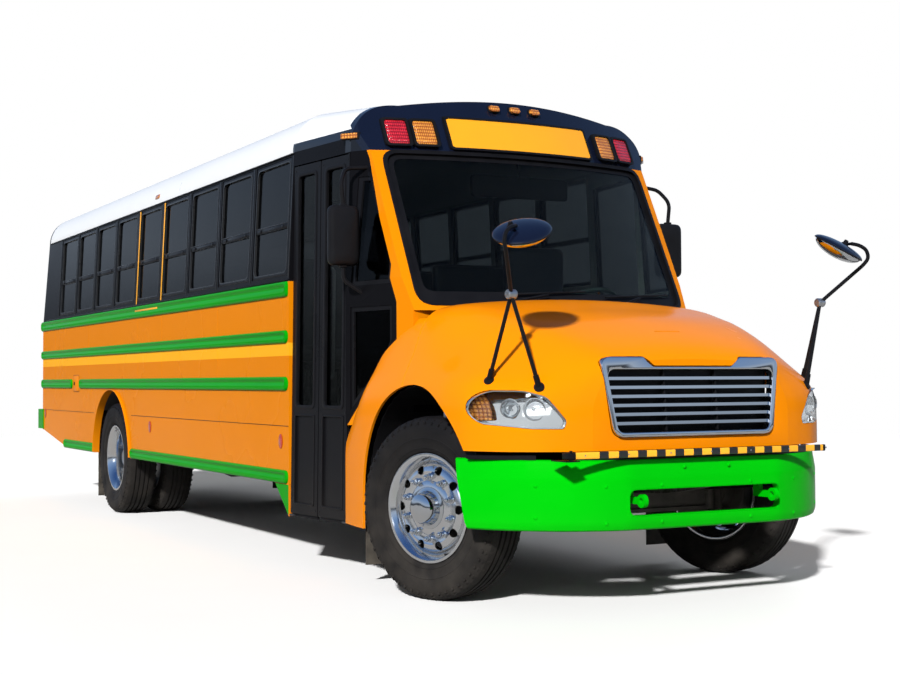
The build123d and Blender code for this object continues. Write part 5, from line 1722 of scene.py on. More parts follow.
def windowUnit():
    y, z = (aft(window["first"]), aft(window["first"] + window["width"])), (window["low"], window["high"])
    gap, edge, deep = 0.003, window["edge"], -0.019
    corners = list(zip(y, z))
    outer, inner = frameOutline(*corners, 0.018, -gap), frameOutline(*corners, 0.050, -edge)
    ring = ringPiece("ring", outer, inner, "yz", deep, -0.0045, 0.0015)
    lipOuter, lipInner = frameOutline(*corners, 0.052, 0.004 - edge), frameOutline(*corners, 0.048, -0.003 - edge)
    lip = ringPiece("lip", lipOuter, lipInner, "yz", deep, -0.0025)
    low = window["rail"]
    bar = boxPiece("bar", (deep, y[0] + edge * 0.8, low - 0.016), (-0.005, y[1] - edge * 0.8, low + 0.016), 0.003)
    sill = boxPiece("sill", (-0.012, y[0] + edge, low + 0.0145), (-0.0015, y[1] - edge, low + 0.0205), 0.002)
    parts = dressed((ring, bar), "blackPaint") + dressed((lip, sill), "windowTrim")
    for place in (y[0] + 0.12, y[1] - 0.12):
        latch = boxPiece("latch", (-0.0055, place - 0.018, low - 0.011), (0.0, place + 0.018, low + 0.009), 0.003)
        parts.append(dress(latch, "blackPlastic"))
    return joined("unit", parts)


def repeated(unit, count, stride):
    # The whole unit again and again, each part keeping its own material.
    made = [moved(copyOf(unit, "one"), shift(0, stride * k, 0)) for k in range(count)]
    bpy.data.objects.remove(unit)
    return made


def makeWindows():
    unit = windowUnit()
    row = joined("row", repeated(unit, window["count"], window["pitch"]))
    for way, label in bothSides:
        piece = onWall(copyOf(row, "trim"), way)
        start, end = aft(1.700), aft(8.70)
        drip = boxPiece("drip", (0.0, start, 2.682), (0.010, end, 2.690), 0.002)
        sillRail = boxPiece("under", (0.0, start, 1.852), (0.006, end, 1.862), 0.002)
        ledge = [dress(onWall(item, way), "blackPaint") for item in (drip, sillRail)]
        posts = []
        for number in range(window["count"] + 1):
            place = window["first"] - (window["pitch"] - window["width"]) / 2 + number * window["pitch"]
            post = boxPiece("post", (0.0, aft(place) - 0.004, 1.872), (0.0025, aft(place) + 0.004, 2.676), 0.001)
            posts.append(dress(onWall(post, way), "windowTrim"))
        whole = joined(f"windowFrames{label}", [piece, *ledge, *posts])
        finished(whole, None, "chassis")
        strips = []
        half = window["stripWidth"] / 2
        for place in window["strips"]:
            strip = boxPiece("strip", (0.0, aft(place) - half - 0.018, 1.868),
                             (0.0018, aft(place) + half - 0.018, 2.676), 0.0006)
            strips.append(onWall(strip, way))
        mark = boxPiece("mark", (0.0068, aft(4.60), 1.8005), (0.0088, aft(5.26), 1.8145), 0.0006)
        strips.append(onWall(mark, way))
        finished(joined(f"exitTape{label}", strips), "stripYellow", "chassis")
        lamp = boxPiece("lamp", (-0.004, aft(4.72), 2.735), (0.018, aft(4.83), 2.775), 0.009, 4)
        base = boxPiece("base", (-0.006, aft(4.705), 2.728), (0.004, aft(4.845), 2.782), 0.004)
        for vertex in list(lamp.data.vertices) + list(base.data.vertices):
            vertex.co.x = way * (wallX(2.694) - (vertex.co.z - 2.694) * 0.30 + vertex.co.x)
        if way < 0:
            lamp.data.flip_normals()
            base.data.flip_normals()
        finished(joined(f"exitLamp{label}", [dress(lamp, "lampAmber"), dress(base, "blackPlastic")]), None,
                 "chassis")
    bpy.data.objects.remove(row)


def makeSideTrim():
    for way, label in bothSides:
        parts = []
        start, end = aft(1.70), aft(8.875)
        arch = side["archRadius"] + 0.02
        for a, b in ((start, rearAxleY - arch), (rearAxleY + arch, end)):
            seam = boxPiece("seam", (-0.001, a, side["seam"] - 0.0022), (0.0012, b, side["seam"] + 0.0022))
            parts.append(dress(onWall(seam, way), "gasketRubber"))
        for place in (1.712, 3.10, 4.50, 5.20, 6.90, 8.30, 8.86):
            for low, high in ((1.232, 1.434), (1.536, 1.738)):
                seam = boxPiece("seam", (-0.001, aft(place) - 0.0012, low), (0.0010, aft(place) + 0.0012, high))
                parts.append(dress(onWall(seam, way), "wallPaint"))
        finished(joined(f"sideSeams{label}", parts), None, "chassis")
        spots = []
        for z, stride in ((1.724, 0.075), (1.550, 0.075), (1.420, 0.075), (1.245, 0.075), (0.930, 0.11),
                          (0.870, 0.11)):
            count = int((end - start - 0.1) / stride)
            for k in range(count):
                y = start + 0.05 + k * stride
                if math.hypot(y - rearAxleY, z - wheelZ) > side["archRadius"] + 0.04:
                    spots.append(((way * (side["x"] + 0.0004), y, z), (way, 0, 0)))
        finished(studCloud(f"sideRivets{label}", spots, 0.0045, 0.0016, "wallPaint", 8), None, "chassis")
        dots = []
        for place, z in ((1.828, 0.798), (4.823, 0.815), (8.74, 0.86)):
            outline = [(aft(place) + 0.030 * u, z + 0.048 * v) for u, v in circle(0.0, 0.0, 1.0)]
            dot = bevelled(prism("dot", outline, "yz", 0.0, 0.007), 0.003, 3)
            dots.append(dress(onWall(dot, way), "reflectorRed"))
        finished(joined(f"reflectors{label}", dots), None, "chassis")
        gap = side["fuelGap"]
        outer = frameOutline((aft(gap[0] + 0.03), 1.095), (aft(gap[1] - 0.03), 1.265), 0.02)
        inner = frameOutline((aft(gap[0] + 0.034), 1.099), (aft(gap[1] - 0.034), 1.261), 0.017)
        line = dress(onWall(ringPiece("line", outer, inner, "yz", -0.0005, 0.0010), way), "gasketRubber")
        leaf = frameOutline((aft(gap[0] + 0.038), 1.103), (aft(gap[1] - 0.038), 1.257), 0.014)
        door = dress(onWall(bevelled(prism("door", leaf, "yz", -0.0005, 0.004), 0.0015, 2), way), "wallPaint")
        knob = lathe("knob", [(0.004, 0.0), (0.004, 0.016), (0.010, 0.016), (0.012, 0.012), (0.012, 0.0)], 32)
        moved(knob, shift(way * side["x"], aft(7.44), 1.18) @ Matrix.Diagonal((way, 1, 1, 1)))
        finished(joined(f"fuelDoor{label}", [line, door, dress(knob, "blackPlastic")]), None, "chassis")
    # The lip round each rear arch, rolled outward.
    for way, label in bothSides:
        rows = []
        low = math.degrees(math.asin((0.530 - wheelZ) / side["lipRadius"]))
        for step in range(61):
            angle = math.radians(low + (180 - 2 * low) * step / 60)
            row = []
            for out, radius in ((0.0, 0.6275), (0.016, 0.6270), (0.0205, 0.6250), (0.0215, 0.6225),
                                (0.0205, 0.6205), (0.016, 0.6200), (-0.03, 0.6200), (-0.03, 0.6275)):
                row.append((way * (side["x"] + out), rearAxleY + radius * math.cos(angle),
                            wheelZ + radius * math.sin(angle)))
            rows.append(row)
        finished(sharpEdges(gridPiece(f"archLip{label}", rows, closeAcross=True, caps=True), 40), "wallPaint",
                 "chassis")
    apron = [(aft(1.698), 0.519), (aft(1.698), 0.322), (aft(1.932), 0.519)]
    sheet = bevelled(prism("apronSheet", roundedOutline(apron, 0.006), "yz", -1.2205, -1.2192), 0.0004, 1)
    finished(sheet, "railPaint", "chassis")


# Windscreen: rubber gasket, printed border, wipers

def makeScreen():
    half, low, high, corner = screen["half"], screen["low"], screen["high"], screen["corner"]
    grows = (0.010, -0.014, -0.004)
    lines = [evenLoop(splitOutline((-half, low), (half, high), corner + grow, grow), 240) for grow in grows]
    outer, inner, printOuter = lines
    gasket = onScreen(ringPiece("gasket", outer, inner, "xz", -0.006, 0.022))
    printInner = evenLoop(splitOutline((-half + 0.055, low + 0.075), (half - 0.055, high - 0.050), corner - 0.03),
                          240)
    border = onScreen(ringPiece("border", printOuter, printInner, "xz", 0.0165, 0.0195))
    finished(joined("screenRubber", [gasket, border]), "gasketRubber", "chassis")
    parts = []
    for pivot, tip in ((-0.52, 0.30), (0.30, 0.86)):
        start = Vector((pivot, screenY(pivot, 1.62) - 0.030, 1.622))
        middle = Vector((pivot + (tip - pivot) * 0.45, screenY(pivot + (tip - pivot) * 0.45, 1.70) - 0.020, 1.700))
        arm = tube("arm", [start, start.lerp(middle, 0.5) + Vector((0, -0.012, 0.01)), middle], 0.008, 10)
        ends = []
        for t in (-0.45, -0.2, 0.0, 0.2, 0.45):
            x = middle.x + t * 0.62 * (1 if tip > pivot else -1)
            z = 1.700 + t * 0.035 + 0.012
            ends.append((x, screenY(x, z) - 0.006, z))
        blade = tube("blade", ends, 0.0065, 8)
        cap = lathe("cap", [(-0.012, 0.0), (-0.012, 0.020), (0.008, 0.020), (0.014, 0.012), (0.014, 0.0)], 24)
        moved(cap, Matrix.Translation(start) @ Matrix.Rotation(math.radians(90), 4, "Z") @ mirrorX)
        parts += [arm, blade, cap]
    finished(joined("wipers", parts), "blackPlastic", "chassis")


def evenLoop(points, count):
    line = evenLine(list(points) + [points[0]], count + 1)
    return line[:-1]


# Header lamps, sign frame, markers

header = {"red": (0.762, 0.915), "amber": (0.590, 0.745), "lampZ": (2.636, 2.816), "stand": 0.034,
          "signHalf": 0.515, "signZ": (2.630, 2.838)}


def onHeader(piece, front):
    return onScreen(piece) if front else onRear(piece)


def lampHead(low, high, front, material):
    # Rounded black housing with a hood, a bezel and a bulged lens.
    z = header["lampZ"]
    toward = -1 if front else 1
    outer = evenLoop(frameOutline((low, z[0]), (high, z[1]), 0.022, 0.004), 64)
    inner = evenLoop(frameOutline((low, z[0]), (high, z[1]), 0.020, -0.010), 64)
    depth = sorted((0.0, toward * (header["stand"] + 0.002)))
    housing = ringPiece("housing", outer, inner, "xz", depth[0], depth[1], 0.002)
    dress(onHeader(housing, front), "blackPlastic")
    middle = ((low + high) / 2, (z[0] + z[1]) / 2)
    rows = []
    for share, out in ((1.0, 0.012), (1.0, 0.022), (0.93, 0.029), (0.75, 0.0325), (0.45, 0.0335), (0.12, 0.034)):
        rows.append([(middle[0] + (x - middle[0]) * share, toward * out, middle[1] + (y - middle[1]) * share)
                     for x, y in inner])
    lens = gridPiece("lens", rows, closeAcross=True, caps=True)
    dress(sharpEdges(onHeader(lens, front), 50), material)
    return joined("lampHead", [housing, lens])


def makeHeader():
    for front, label in ((True, "Front"), (False, "Rear")):
        for color, material in (("red", "lampRed"), ("amber", "lampAmber")):
            low, high = header[color]
            heads = [lampHead(low, high, front, material), lampHead(-high, -low, front, material)]
            node = (f"{color}_lamps",) if front and color == "red" else ()
            finished(joined(f"{color}Lamps{label}", heads), None, "chassis", node)
        half, z = header["signHalf"], header["signZ"]
        outer = evenLoop(frameOutline((-half, z[0]), (half, z[1]), 0.012, 0.008), 120)
        inner = evenLoop(frameOutline((-half, z[0]), (half, z[1]), 0.008, -0.006), 120)
        depth = (-0.025, 0.0) if front else (0.0, 0.025)
        edge = onHeader(ringPiece("signFrame", outer, inner, "xz", *depth), front)
        finished(edge, "blackPlastic", "chassis")
    parts = []
    for x in (-0.150, 0.0, 0.150):
        for label, grow, out, material in (("base", 0.006, 0.010, "blackPlastic"),
                                           ("lens", 0.0, 0.034, "lampAmber")):
            outline = evenLoop(frameOutline((x - 0.034, 2.905), (x + 0.034, 2.944), 0.016, grow), 40)
            block = bevelled(prism(label, outline, "xz", -out, 0.004), 0.006, 3)
            parts.append(dress(onScreen(block), material))
    finished(joined("roofMarkers", parts), None, "chassis", ("amber_lamps",))
    for way, label in bothSides:
        parts = []
        for name, grow, out, material in (("base", 0.006, 0.008, "blackPlastic"),
                                          ("lens", 0.0, 0.022, "lampAmber")):
            block = boxPiece(name, (-0.010, aft(0.945) - grow, 2.682 - grow),
                             (out, aft(1.030) + grow, 2.716 + grow), 0.005, 3)
            bent(block, lambda x, y, z: (way * (cabX(y - frontAxleY, z) + x), y, z), way < 0)
            parts.append(dress(block, material))
        finished(joined(f"sideMarker{label}", parts), None, "chassis")


makeWindows()
makeSideTrim()
makeScreen()
makeHeader()
print("windows, side trim and header made")


# Mirrors: tripods over the wings, and masts at the cab's pillars

mirror = {
    "feet": [(1.000, -0.559, 1.193), (0.850, -0.811, 1.157)], "clamp": (1.023, -0.830, 1.627),
    "neck": [(1.168, -1.025, 1.832), (1.190, -1.046, 1.870), (1.177, -1.044, 1.918), (1.140, -1.026, 1.944),
             (1.098, -1.008, 1.952)],
    "head": (1.040, -0.966, 1.929), "normal": (0.318, -0.40, 0.86), "across": (0.9, 0.1, -0.29),
    "shell": (0.152, 0.142, 0.036), "face": (0.144, 0.134, 0.058), "tube": 0.0105,
    "box": ((1.105, 1.305), (0.805, 0.866), (1.885, 2.250)),
    "upper": [(0.965, 0.879, 2.500), (1.166, 0.900, 2.484), (1.220, 0.841, 2.392), (1.205, 0.845, 2.245)],
    "lower": [(1.205, 0.845, 1.890), (1.205, 0.845, 1.800), (1.065, 0.830, 1.712)],
}


def placed(point):
    return (point[0], aft(point[1]), point[2])


def bentPath(points, radius=0.05, steps=6):
    # Straight runs with rounded bends, like a bent tube.
    line = [Vector(p) for p in points]
    made = [tuple(line[0])]
    for back, here, ahead in zip(line, line[1:], line[2:]):
        reach = min(radius, (back - here).length * 0.45, (ahead - here).length * 0.45)
        first, last = here + (back - here).normalized() * reach, here + (ahead - here).normalized() * reach
        made += [tuple((1 - t) ** 2 * first + 2 * t * (1 - t) * here + t**2 * last)
                 for t in [k / steps for k in range(steps + 1)]]
    return made + [tuple(line[-1])]


def domed(name, radii, rings, way):
    # Half of an ellipsoid whose flat side lies in the XY plane.
    rows = []
    for ring in range(rings + 1):
        angle = math.pi / 2 * ring / rings
        width, height = max(math.cos(angle), 0.002), math.sin(angle)
        rows.append([(radii[0] * u, radii[1] * v, way * radii[2] * height) for u, v in circle(0.0, 0.0, width, 64)])
    return gridPiece(name, rows, closeAcross=True, caps=True)


def makeCrossviews(bonnet):
    arms = []
    neck = bentPath([placed(p) for p in [mirror["clamp"]] + mirror["neck"]], 0.030, 5)
    skin = BVHTree.FromObject(bonnet, bpy.context.evaluated_depsgraph_get())
    eye = Vector(studio["cameraPlace"]) * Vector((-1, 1, 1))
    for foot in mirror["feet"]:
        # Each foot stands on the skin of the bonnet, on the line of sight through its place.
        spot, face = skin.ray_cast(eye, (Vector(placed(foot)) - eye).normalized())[:2]
        end = spot or Vector(placed(foot))
        arms.append(dress(tube("leg", [end, placed(mirror["clamp"])], mirror["tube"], 20), "blackPlastic"))
        pad = lathe("pad", [(-0.010, 0.0), (-0.010, 0.028), (0.004, 0.028), (0.010, 0.022), (0.013, 0.012),
                            (0.013, 0.0)], 32)
        way = (face or Vector((0.25, -0.45, 0.86))).to_track_quat("X", "Z").to_matrix().to_4x4()
        arms.append(dress(moved(pad, Matrix.Translation(end) @ way), "blackPlastic"))
        sock = tube("sock", [end, end.lerp(Vector(placed(mirror["clamp"])), 0.13)], 0.0155, 20)
        arms.append(dress(sock, "gasketRubber"))
    arms.append(dress(tube("neck", neck, mirror["tube"], 20), "blackPlastic"))
    clamp = lathe("clamp", [(-0.026, 0.0), (-0.026, 0.020), (-0.020, 0.025), (0.020, 0.025), (0.026, 0.020),
                            (0.026, 0.0)], 32)
    arms.append(dress(moved(clamp, Matrix.Translation(placed(mirror["clamp"]))), "zincSteel"))
    bolt = lathe("bolt", [(0.024, 0.0), (0.024, 0.010), (0.032, 0.010), (0.034, 0.008), (0.034, 0.0)], 6)
    arms.append(dress(moved(bolt, Matrix.Translation(placed(mirror["clamp"]))), "zincSteel"))
    normal = Vector(mirror["normal"]).normalized()
    across = Vector(mirror["across"])
    across = (across - normal * across.dot(normal)).normalized()
    basis = Matrix((across, normal.cross(across), normal)).transposed().to_4x4()
    place = Matrix.Translation(placed(mirror["head"])) @ basis
    post = tube("post", [placed(mirror["neck"][-1]), place @ Vector((0.048, 0.022, 0.034))], 0.0085, 16)
    knob = lathe("knob", [(0.0, 0.0), (0.0, 0.021), (0.010, 0.021), (0.016, 0.014), (0.030, 0.012), (0.034, 0.008),
                          (0.034, 0.0)], 24)
    knob = moved(knob, place @ shift(0.048, 0.022, 0.028) @ Matrix.Rotation(-math.pi / 2, 4, "Y"))
    arms += [dress(post, "blackPlastic"), dress(knob, "blackPlastic")]
    upper = domed("upper", mirror["shell"], 16, 1)
    lower = domed("lower", mirror["face"], 20, -1)
    edge = [(0.1495 * x, 0.1395 * y, -0.001) for x, y in circle(0.0, 0.0, 1.0, 64)]
    ring = tube("ring", edge, 0.0042, 10, closed=True)
    heads = [dress(upper, "headerPaint"), dress(lower, "mirrorGlass"), dress(ring, "gasketRubber")]
    head = moved(joined("head", heads), place)
    whole = joined("arms", arms)
    for side, label in bothSides[::-1]:
        one, two = copyOf(whole, f"crossviewArms{label}"), copyOf(head, f"crossviewHead{label}")
        if side < 0:
            for item in (one, two):
                moved(item, mirrorX)
        finished(one, None, "bonnet", ("crossview_arms",) if side > 0 else ())
        finished(two, None, "bonnet", ("crossview_heads",) if side > 0 else ())
    for item in (whole, head):
        bpy.data.objects.remove(item)


def makeRearviews():
    (x0, x1), (y0, y1), (z0, z1) = mirror["box"]
    rows = []
    for place, shrink in ((y0, 0.030), (y0 + 0.006, 0.012), (y0 + 0.018, 0.003), (y0 + 0.034, 0.0),
                          (y1 - 0.006, 0.001), (y1, 0.005)):
        outline = frameOutline((x0, z0), (x1, z1), 0.045, -shrink)
        rows.append([(x, aft(place), z) for x, z in evenLoop(outline, 72)])
    housing = sharpEdges(gridPiece("housing", rows, closeAcross=True, caps=True), 50)
    dress(housing, "blackPlastic")
    outer = evenLoop(frameOutline((x0, z0), (x1, z1), 0.04, -0.005), 72)
    inner = evenLoop(frameOutline((x0, z0), (x1, z1), 0.032, -0.015), 72)
    rim = ringPiece("rim", outer, inner, "xz", aft(y1 - 0.001), aft(y1 + 0.003))
    parts = [housing, dress(rim, "gasketRubber")]
    split = z0 + 0.125
    for low, high, swell in ((split + 0.006, z1 - 0.017, 0.0), (z0 + 0.017, split - 0.006, 0.004)):
        outline = evenLoop(frameOutline((x0 + 0.017, low), (x1 - 0.017, high), 0.022), 64)
        middle = ((x0 + x1) / 2, (low + high) / 2)
        rows = []
        for share in (1.0, 0.8, 0.55, 0.3, 0.06):
            out = aft(y1 + 0.0012) + swell * (1 - share**2)
            rows.append([(middle[0] + (x - middle[0]) * share, out, middle[1] + (z - middle[1]) * share)
                         for x, z in outline])
        back = [(x, aft(y1 - 0.002), z) for x, z in outline]
        parts.append(dress(sharpEdges(gridPiece("glass", [back] + rows, closeAcross=True, caps=True), 40),
                           "mirrorGlass"))
    bar = boxPiece("bar", (x0 + 0.010, aft(y1 - 0.001), split - 0.005),
                   (x1 - 0.010, aft(y1 + 0.003), split + 0.005), 0.001)
    parts.append(dress(bar, "blackPlastic"))
    for line in (mirror["upper"], mirror["lower"]):
        parts.append(dress(tube("mast", bentPath([placed(p) for p in line], 0.045, 7), 0.0125, 20), "blackPlastic"))
    for point in (mirror["upper"][-1], mirror["lower"][0]):
        x, y, z = placed(point)
        parts.append(dress(boxPiece("socket", (x - 0.022, y - 0.018, z - 0.016), (x + 0.022, y + 0.018, z + 0.016),
                                    0.006, 3), "blackPlastic"))
    for point in (mirror["upper"][0], mirror["lower"][-1]):
        foot = lathe("foot", [(-0.012, 0.0), (-0.012, 0.030), (0.002, 0.030), (0.014, 0.022), (0.020, 0.016),
                              (0.020, 0.0)], 32)
        parts.append(dress(moved(foot, Matrix.Translation(placed(point))), "blackPlastic"))
    whole = joined("whole", parts)
    for side, label in bothSides[::-1]:
        one = copyOf(whole, f"rearviewMirror{label}")
        if side < 0:
            moved(one, mirrorX)
        finished(one, None, "chassis", ("rearview_mirrors",) if side > 0 else ())
    bpy.data.objects.remove(whole)


# Entrance door: two leaves with panes in rubber, drawn in the wall's own plane

door = {
    "origin": (-1.128, 0.985, 0.0), "end": (-1.219, 1.690, 0.0), "up": (0.0158, 0.0, 1.0), "low": 0.340,
    "high": 2.592,
    "thick": 0.040, "leaves": {"front": (0.012, 0.3494), "rear": (0.3614, 0.6988)}, "stile": 0.055,
    "light": (1.030, 2.532),
    "panel": (0.400, 0.980),
}


def doorMatrix():
    origin, end = Vector(placed(door["origin"])), Vector(placed(door["end"]))
    along, up = (end - origin).normalized(), Vector(door["up"])
    normal = along.cross(up).normalized()
    if normal.x > 0:
        normal = -normal
    up = (up - along * up.dot(along)).normalized()
    # Local X runs along the wall, local Y into the bus, local Z upward.
    return Matrix.Translation(origin) @ Matrix((along, -normal, up)).transposed().to_4x4()


def makeDoors():
    turn = doorMatrix()
    for name, (start, end) in door["leaves"].items():
        low, high = door["light"]
        left, right = start + door["stile"], end - door["stile"]
        front = name == "front"
        parts = []
        for grow, near, far in ((0.014, -0.004, 0.020), (0.012, 0.026, 0.044)):
            outer = frameOutline((left, low), (right, high), 0.045, grow)
            inner = frameOutline((left, low), (right, high), 0.028, -0.010)
            parts.append(dress(ringPiece("seal", outer, inner, "xz", near, far, 0.0015), "gasketRubber"))
        panel = door["panel"]
        press = ringPiece("press", frameOutline((start + 0.040, panel[0]), (end - 0.040, panel[1]), 0.020),
                          frameOutline((start + 0.050, panel[0] + 0.010), (end - 0.050, panel[1] - 0.010), 0.014),
                          "xz", -0.0035, 0.011, 0.0015)
        parts.append(dress(press, "blackPaint"))
        lip = (end - 0.004, end + 0.0055) if front else (start - 0.0055, start + 0.004)
        rubber = boxPiece("rubber", (lip[0], 0.004, door["low"] + 0.01), (lip[1], 0.034, door["high"] - 0.01),
                          0.003)
        parts.append(dress(rubber, "gasketRubber"))
        sweep = boxPiece("sweep", (start + 0.01, 0.012, door["low"] - 0.022),
                         (end - 0.01, 0.022, door["low"] + 0.004), 0.002)
        parts.append(dress(sweep, "gasketRubber"))
        bolts = []
        for z in (0.372, 1.000, 2.562):
            for x in (start + 0.020, end - 0.020):
                bolts.append(((x, -0.0004, z), (0, -1, 0)))
        parts.append(studCloud("bolts", bolts, 0.006, 0.003, "blackPlastic", 10))
        x = end - 0.028 if front else start + 0.028
        rail = tube("grab", bentPath([(x, 0.040, 1.20), (x, 0.085, 1.22), (x, 0.085, 1.90), (x, 0.040, 1.92)],
                                     0.03), 0.011, 14)
        parts.append(dress(rail, "zincSteel"))
        whole = moved(joined(f"doorTrim{name.title()}", parts), turn)
        finished(whole, None, f"door_{name}")


# Crossing gate and stop arm

gate = {"face": -1.130, "thick": 0.022, "z": (0.802, 0.837), "hinge": (-0.860, -1.100), "end": 0.776}


def makeGate():
    low, high = gate["z"]
    y0, y1 = aft(gate["face"]) + 0.0015, aft(gate["face"]) + gate["thick"] - 0.001
    bar = boxPiece("bar", (gate["hinge"][0] + 0.02, y0, low + 0.0006), (gate["end"] - 0.001, y1, high - 0.0006),
                   0.0045, 3)
    dress(bar, "gateStripe")
    cap = boxPiece("cap", (gate["end"] - 0.020, y0 - 0.001, low), (gate["end"], y1 + 0.0006, high), 0.004, 3)
    dress(cap, "blackPlastic")
    hinge = boxPiece("hinge", (gate["hinge"][0] - 0.028, y0, low + 0.0008),
                     (gate["hinge"][0] + 0.028, aft(gate["hinge"][1]) + gate["thick"] - 0.001, high - 0.0008),
                     0.005, 3)
    x, y = gate["hinge"][0], aft(gate["hinge"][1])
    cut(hinge, prism("bore", circle(x, y, 0.0086), "xy", 0.7, 0.9))
    dress(hinge, "blackPlastic")
    spots = [((gate["hinge"][0] + 0.08 + k * 0.26, y0 + 0.0004, 0.8195), (0, -1, 0)) for k in range(7)]
    bolts = studCloud("gateBolts", spots, 0.0055, 0.0014, "zincSteel", 10)
    finished(joined("gateArm", [bar, cap, hinge, bolts]), None, "crossing_gate", ("crossing_gate",))


stop = {"hinge": (1.254, 1.850), "z": 1.640, "radius": 0.225, "half": 0.003}


def makeStopArm():
    x, y, z, radius = stop["hinge"][0], aft(stop["hinge"][1] + 0.015) + stop["radius"], stop["z"], stop["radius"]
    reach = radius / math.cos(math.pi / 8)
    angles = [math.pi / 8 + k * math.pi / 4 for k in range(8)]
    corners = [(reach * math.cos(angle), reach * math.sin(angle)) for angle in angles]
    parts = []
    plate = bevelled(prism("plate", [(y + a, z + b) for a, b in corners], "yz", x - stop["half"], x + stop["half"]),
                     0.001, 2)
    parts.append(dress(plate, "stopRed"))
    for side in (-1, 1):
        outer = [(y + a * 0.985, z + b * 0.985) for a, b in corners]
        inner = [(y + a * 0.925, z + b * 0.925) for a, b in corners]
        span = sorted((x + side * (stop["half"] - 0.0004), x + side * (stop["half"] + 0.0008)))
        parts.append(dress(ringPiece("border", outer, inner, "yz", *span), "whiteReflective"))
        for up in (0.118, -0.118):
            base = lathe("lamp", [(0.0, 0.0), (0.0, 0.046), (0.008, 0.046), (0.011, 0.042), (0.014, 0.020),
                                  (0.015, 0.0)], 40)
            spin = Matrix.Diagonal((side, 1, 1, 1))
            parts.append(dress(moved(base, shift(x + side * stop["half"], y, z + up) @ spin),
                               "lampRed"))
    body = boxPiece("spine", (x - 0.0066, aft(stop["hinge"][1]) - 0.0096, z - 0.0696),
                    (x + 0.0066, aft(stop["hinge"][1]) + 0.0596, z + 0.0696), 0.003, 3)
    cut(body, prism("bore", circle(x, aft(stop["hinge"][1]), 0.0046, 24), "xy", z - 0.1, z + 0.1))
    parts.append(dress(body, "blackPaint"))
    finished(joined("stopBlade", parts), None, "stop_arm", ("stop_arm",))


makeCrossviews(bonnetPiece)
makeRearviews()
makeDoors()
makeGate()
makeStopArm()
print("mirrors, doors and arms made")


# Rear: door frame, handle, tail lamps, blank plate

rear = {"doorHalf": 0.430, "doorLow": 0.985, "doorHigh": 2.620, "lights": ((1.900, 2.540), (1.180, 1.660)),
        "lightHalf": 0.360,
        "panes": ((0.540, 1.060), (1.960, 2.560)), "bumper": (0.683, 0.910), "bumperEnd": 9.050}


def rearRing(name, low, high, round, grow, shrink, near, far, material):
    outer = evenLoop(splitOutline(low, high, round + grow, grow), 140)
    inner = evenLoop(splitOutline(low, high, max(round - shrink, 0.004), -shrink), 140)
    return dress(onRear(ringPiece(name, outer, inner, "xz", near, far)), material)


def makeRear():
    half, (x0, x1), (z0, z1) = rear["lightHalf"], rear["panes"][0], rear["panes"][1]
    fixed = []
    for side in (1, -1):
        a, b = sorted((side * x0, side * x1))
        fixed.append(rearRing("gasket", (a, z0), (b, z1), 0.045, 0.010, 0.012, -0.02, 0.006, "gasketRubber"))
    fixed.append(rearRing("jamb", (-rear["doorHalf"], rear["doorLow"]), (rear["doorHalf"], rear["doorHigh"]), 0.01,
                          0.022, 0.002, -0.02, 0.004, "blackPaint"))
    spots = []
    for side in (1, -1):
        for k in range(14):
            z = 1.05 + k * 0.12
            spots += [((side * x, rearY(z) + 0.0005, z), (0, 1, 0)) for x in (1.155, 0.475)]
    fixed.append(studCloud("rearRivets", spots, 0.0045, 0.0016, "wallPaint", 8))
    for side in (1, -1):
        for x, z, size, material in ((0.800, 1.590, 0.088, "lampRed"), (0.995, 1.590, 0.066, "lampAmber"),
                                     (0.800, 1.305, 0.066, "lampRed"),
                                     (0.995, 1.305, 0.052, "lampAmber"), (0.640, 1.305, 0.052, "lampClear")):
            base = lathe("base", [(-0.01, 0.0), (-0.01, size + 0.014), (0.006, size + 0.014), (0.011, size + 0.008),
                                  (0.011, size), (0.004, size), (0.004, 0.0)], 48)
            lens = lathe("lens", [(0.0, 0.0), (0.0, size - 0.001), (0.012, size - 0.001), (0.020, size * 0.86),
                                  (0.026, size * 0.5), (0.028, 0.0)], 48)
            turn = shift(side * x, rearY(z), z) @ Matrix.Rotation(math.pi / 2, 4, "Z")
            fixed += [dress(moved(base, turn), "blackPlastic"), dress(moved(lens, turn), material)]
        mark = lathe("mark", [(0.0, 0.0), (0.0, 0.038), (0.006, 0.038), (0.008, 0.034), (0.008, 0.0)], 32)
        turn = shift(side * 1.09, rearY(1.79), 1.79) @ Matrix.Rotation(math.pi / 2, 4, "Z")
        fixed.append(dress(moved(mark, turn), "reflectorRed"))
    plate = bevelled(prism("plate", frameOutline((-1.060, 1.005), (-0.755, 1.160), 0.012), "xz", rearY(1.0),
                           rearY(1.0) + 0.005), 0.001)
    fixed.append(dress(plate, "whiteReflective"))
    for x in (-0.15, 0.0, 0.15):
        block = bevelled(prism("marker", frameOutline((x - 0.034, 2.900), (x + 0.034, 2.940), 0.014), "xz", -0.01,
                               0.024), 0.006, 3)
        fixed.append(dress(onRear(block), "lampRed"))
    finished(joined("rearTrim", fixed), None, "chassis")
    leaf = []
    for low, high in rear["lights"]:
        leaf.append(rearRing("doorGasket", (-half, low), (half, high), 0.05, 0.010, 0.012, -0.02, 0.006,
                             "gasketRubber"))
    y = rearY(1.75)
    leaf.append(dress(boxPiece("handleBase", (0.300, y - 0.002, 1.735), (0.400, y + 0.010, 1.800), 0.004, 3),
                      "blackPlastic"))
    leaf.append(dress(tube("handle", bentPath([(0.375, y + 0.008, 1.768), (0.375, y + 0.045, 1.768),
                                               (0.205, y + 0.045, 1.768), (0.195, y + 0.030, 1.768)], 0.018), 0.009,
                           16), "zincSteel"))
    finished(joined("rearDoorTrim", leaf), None, "rear_door")


# Seats: foam under vinyl, swelled as cloth and stitched

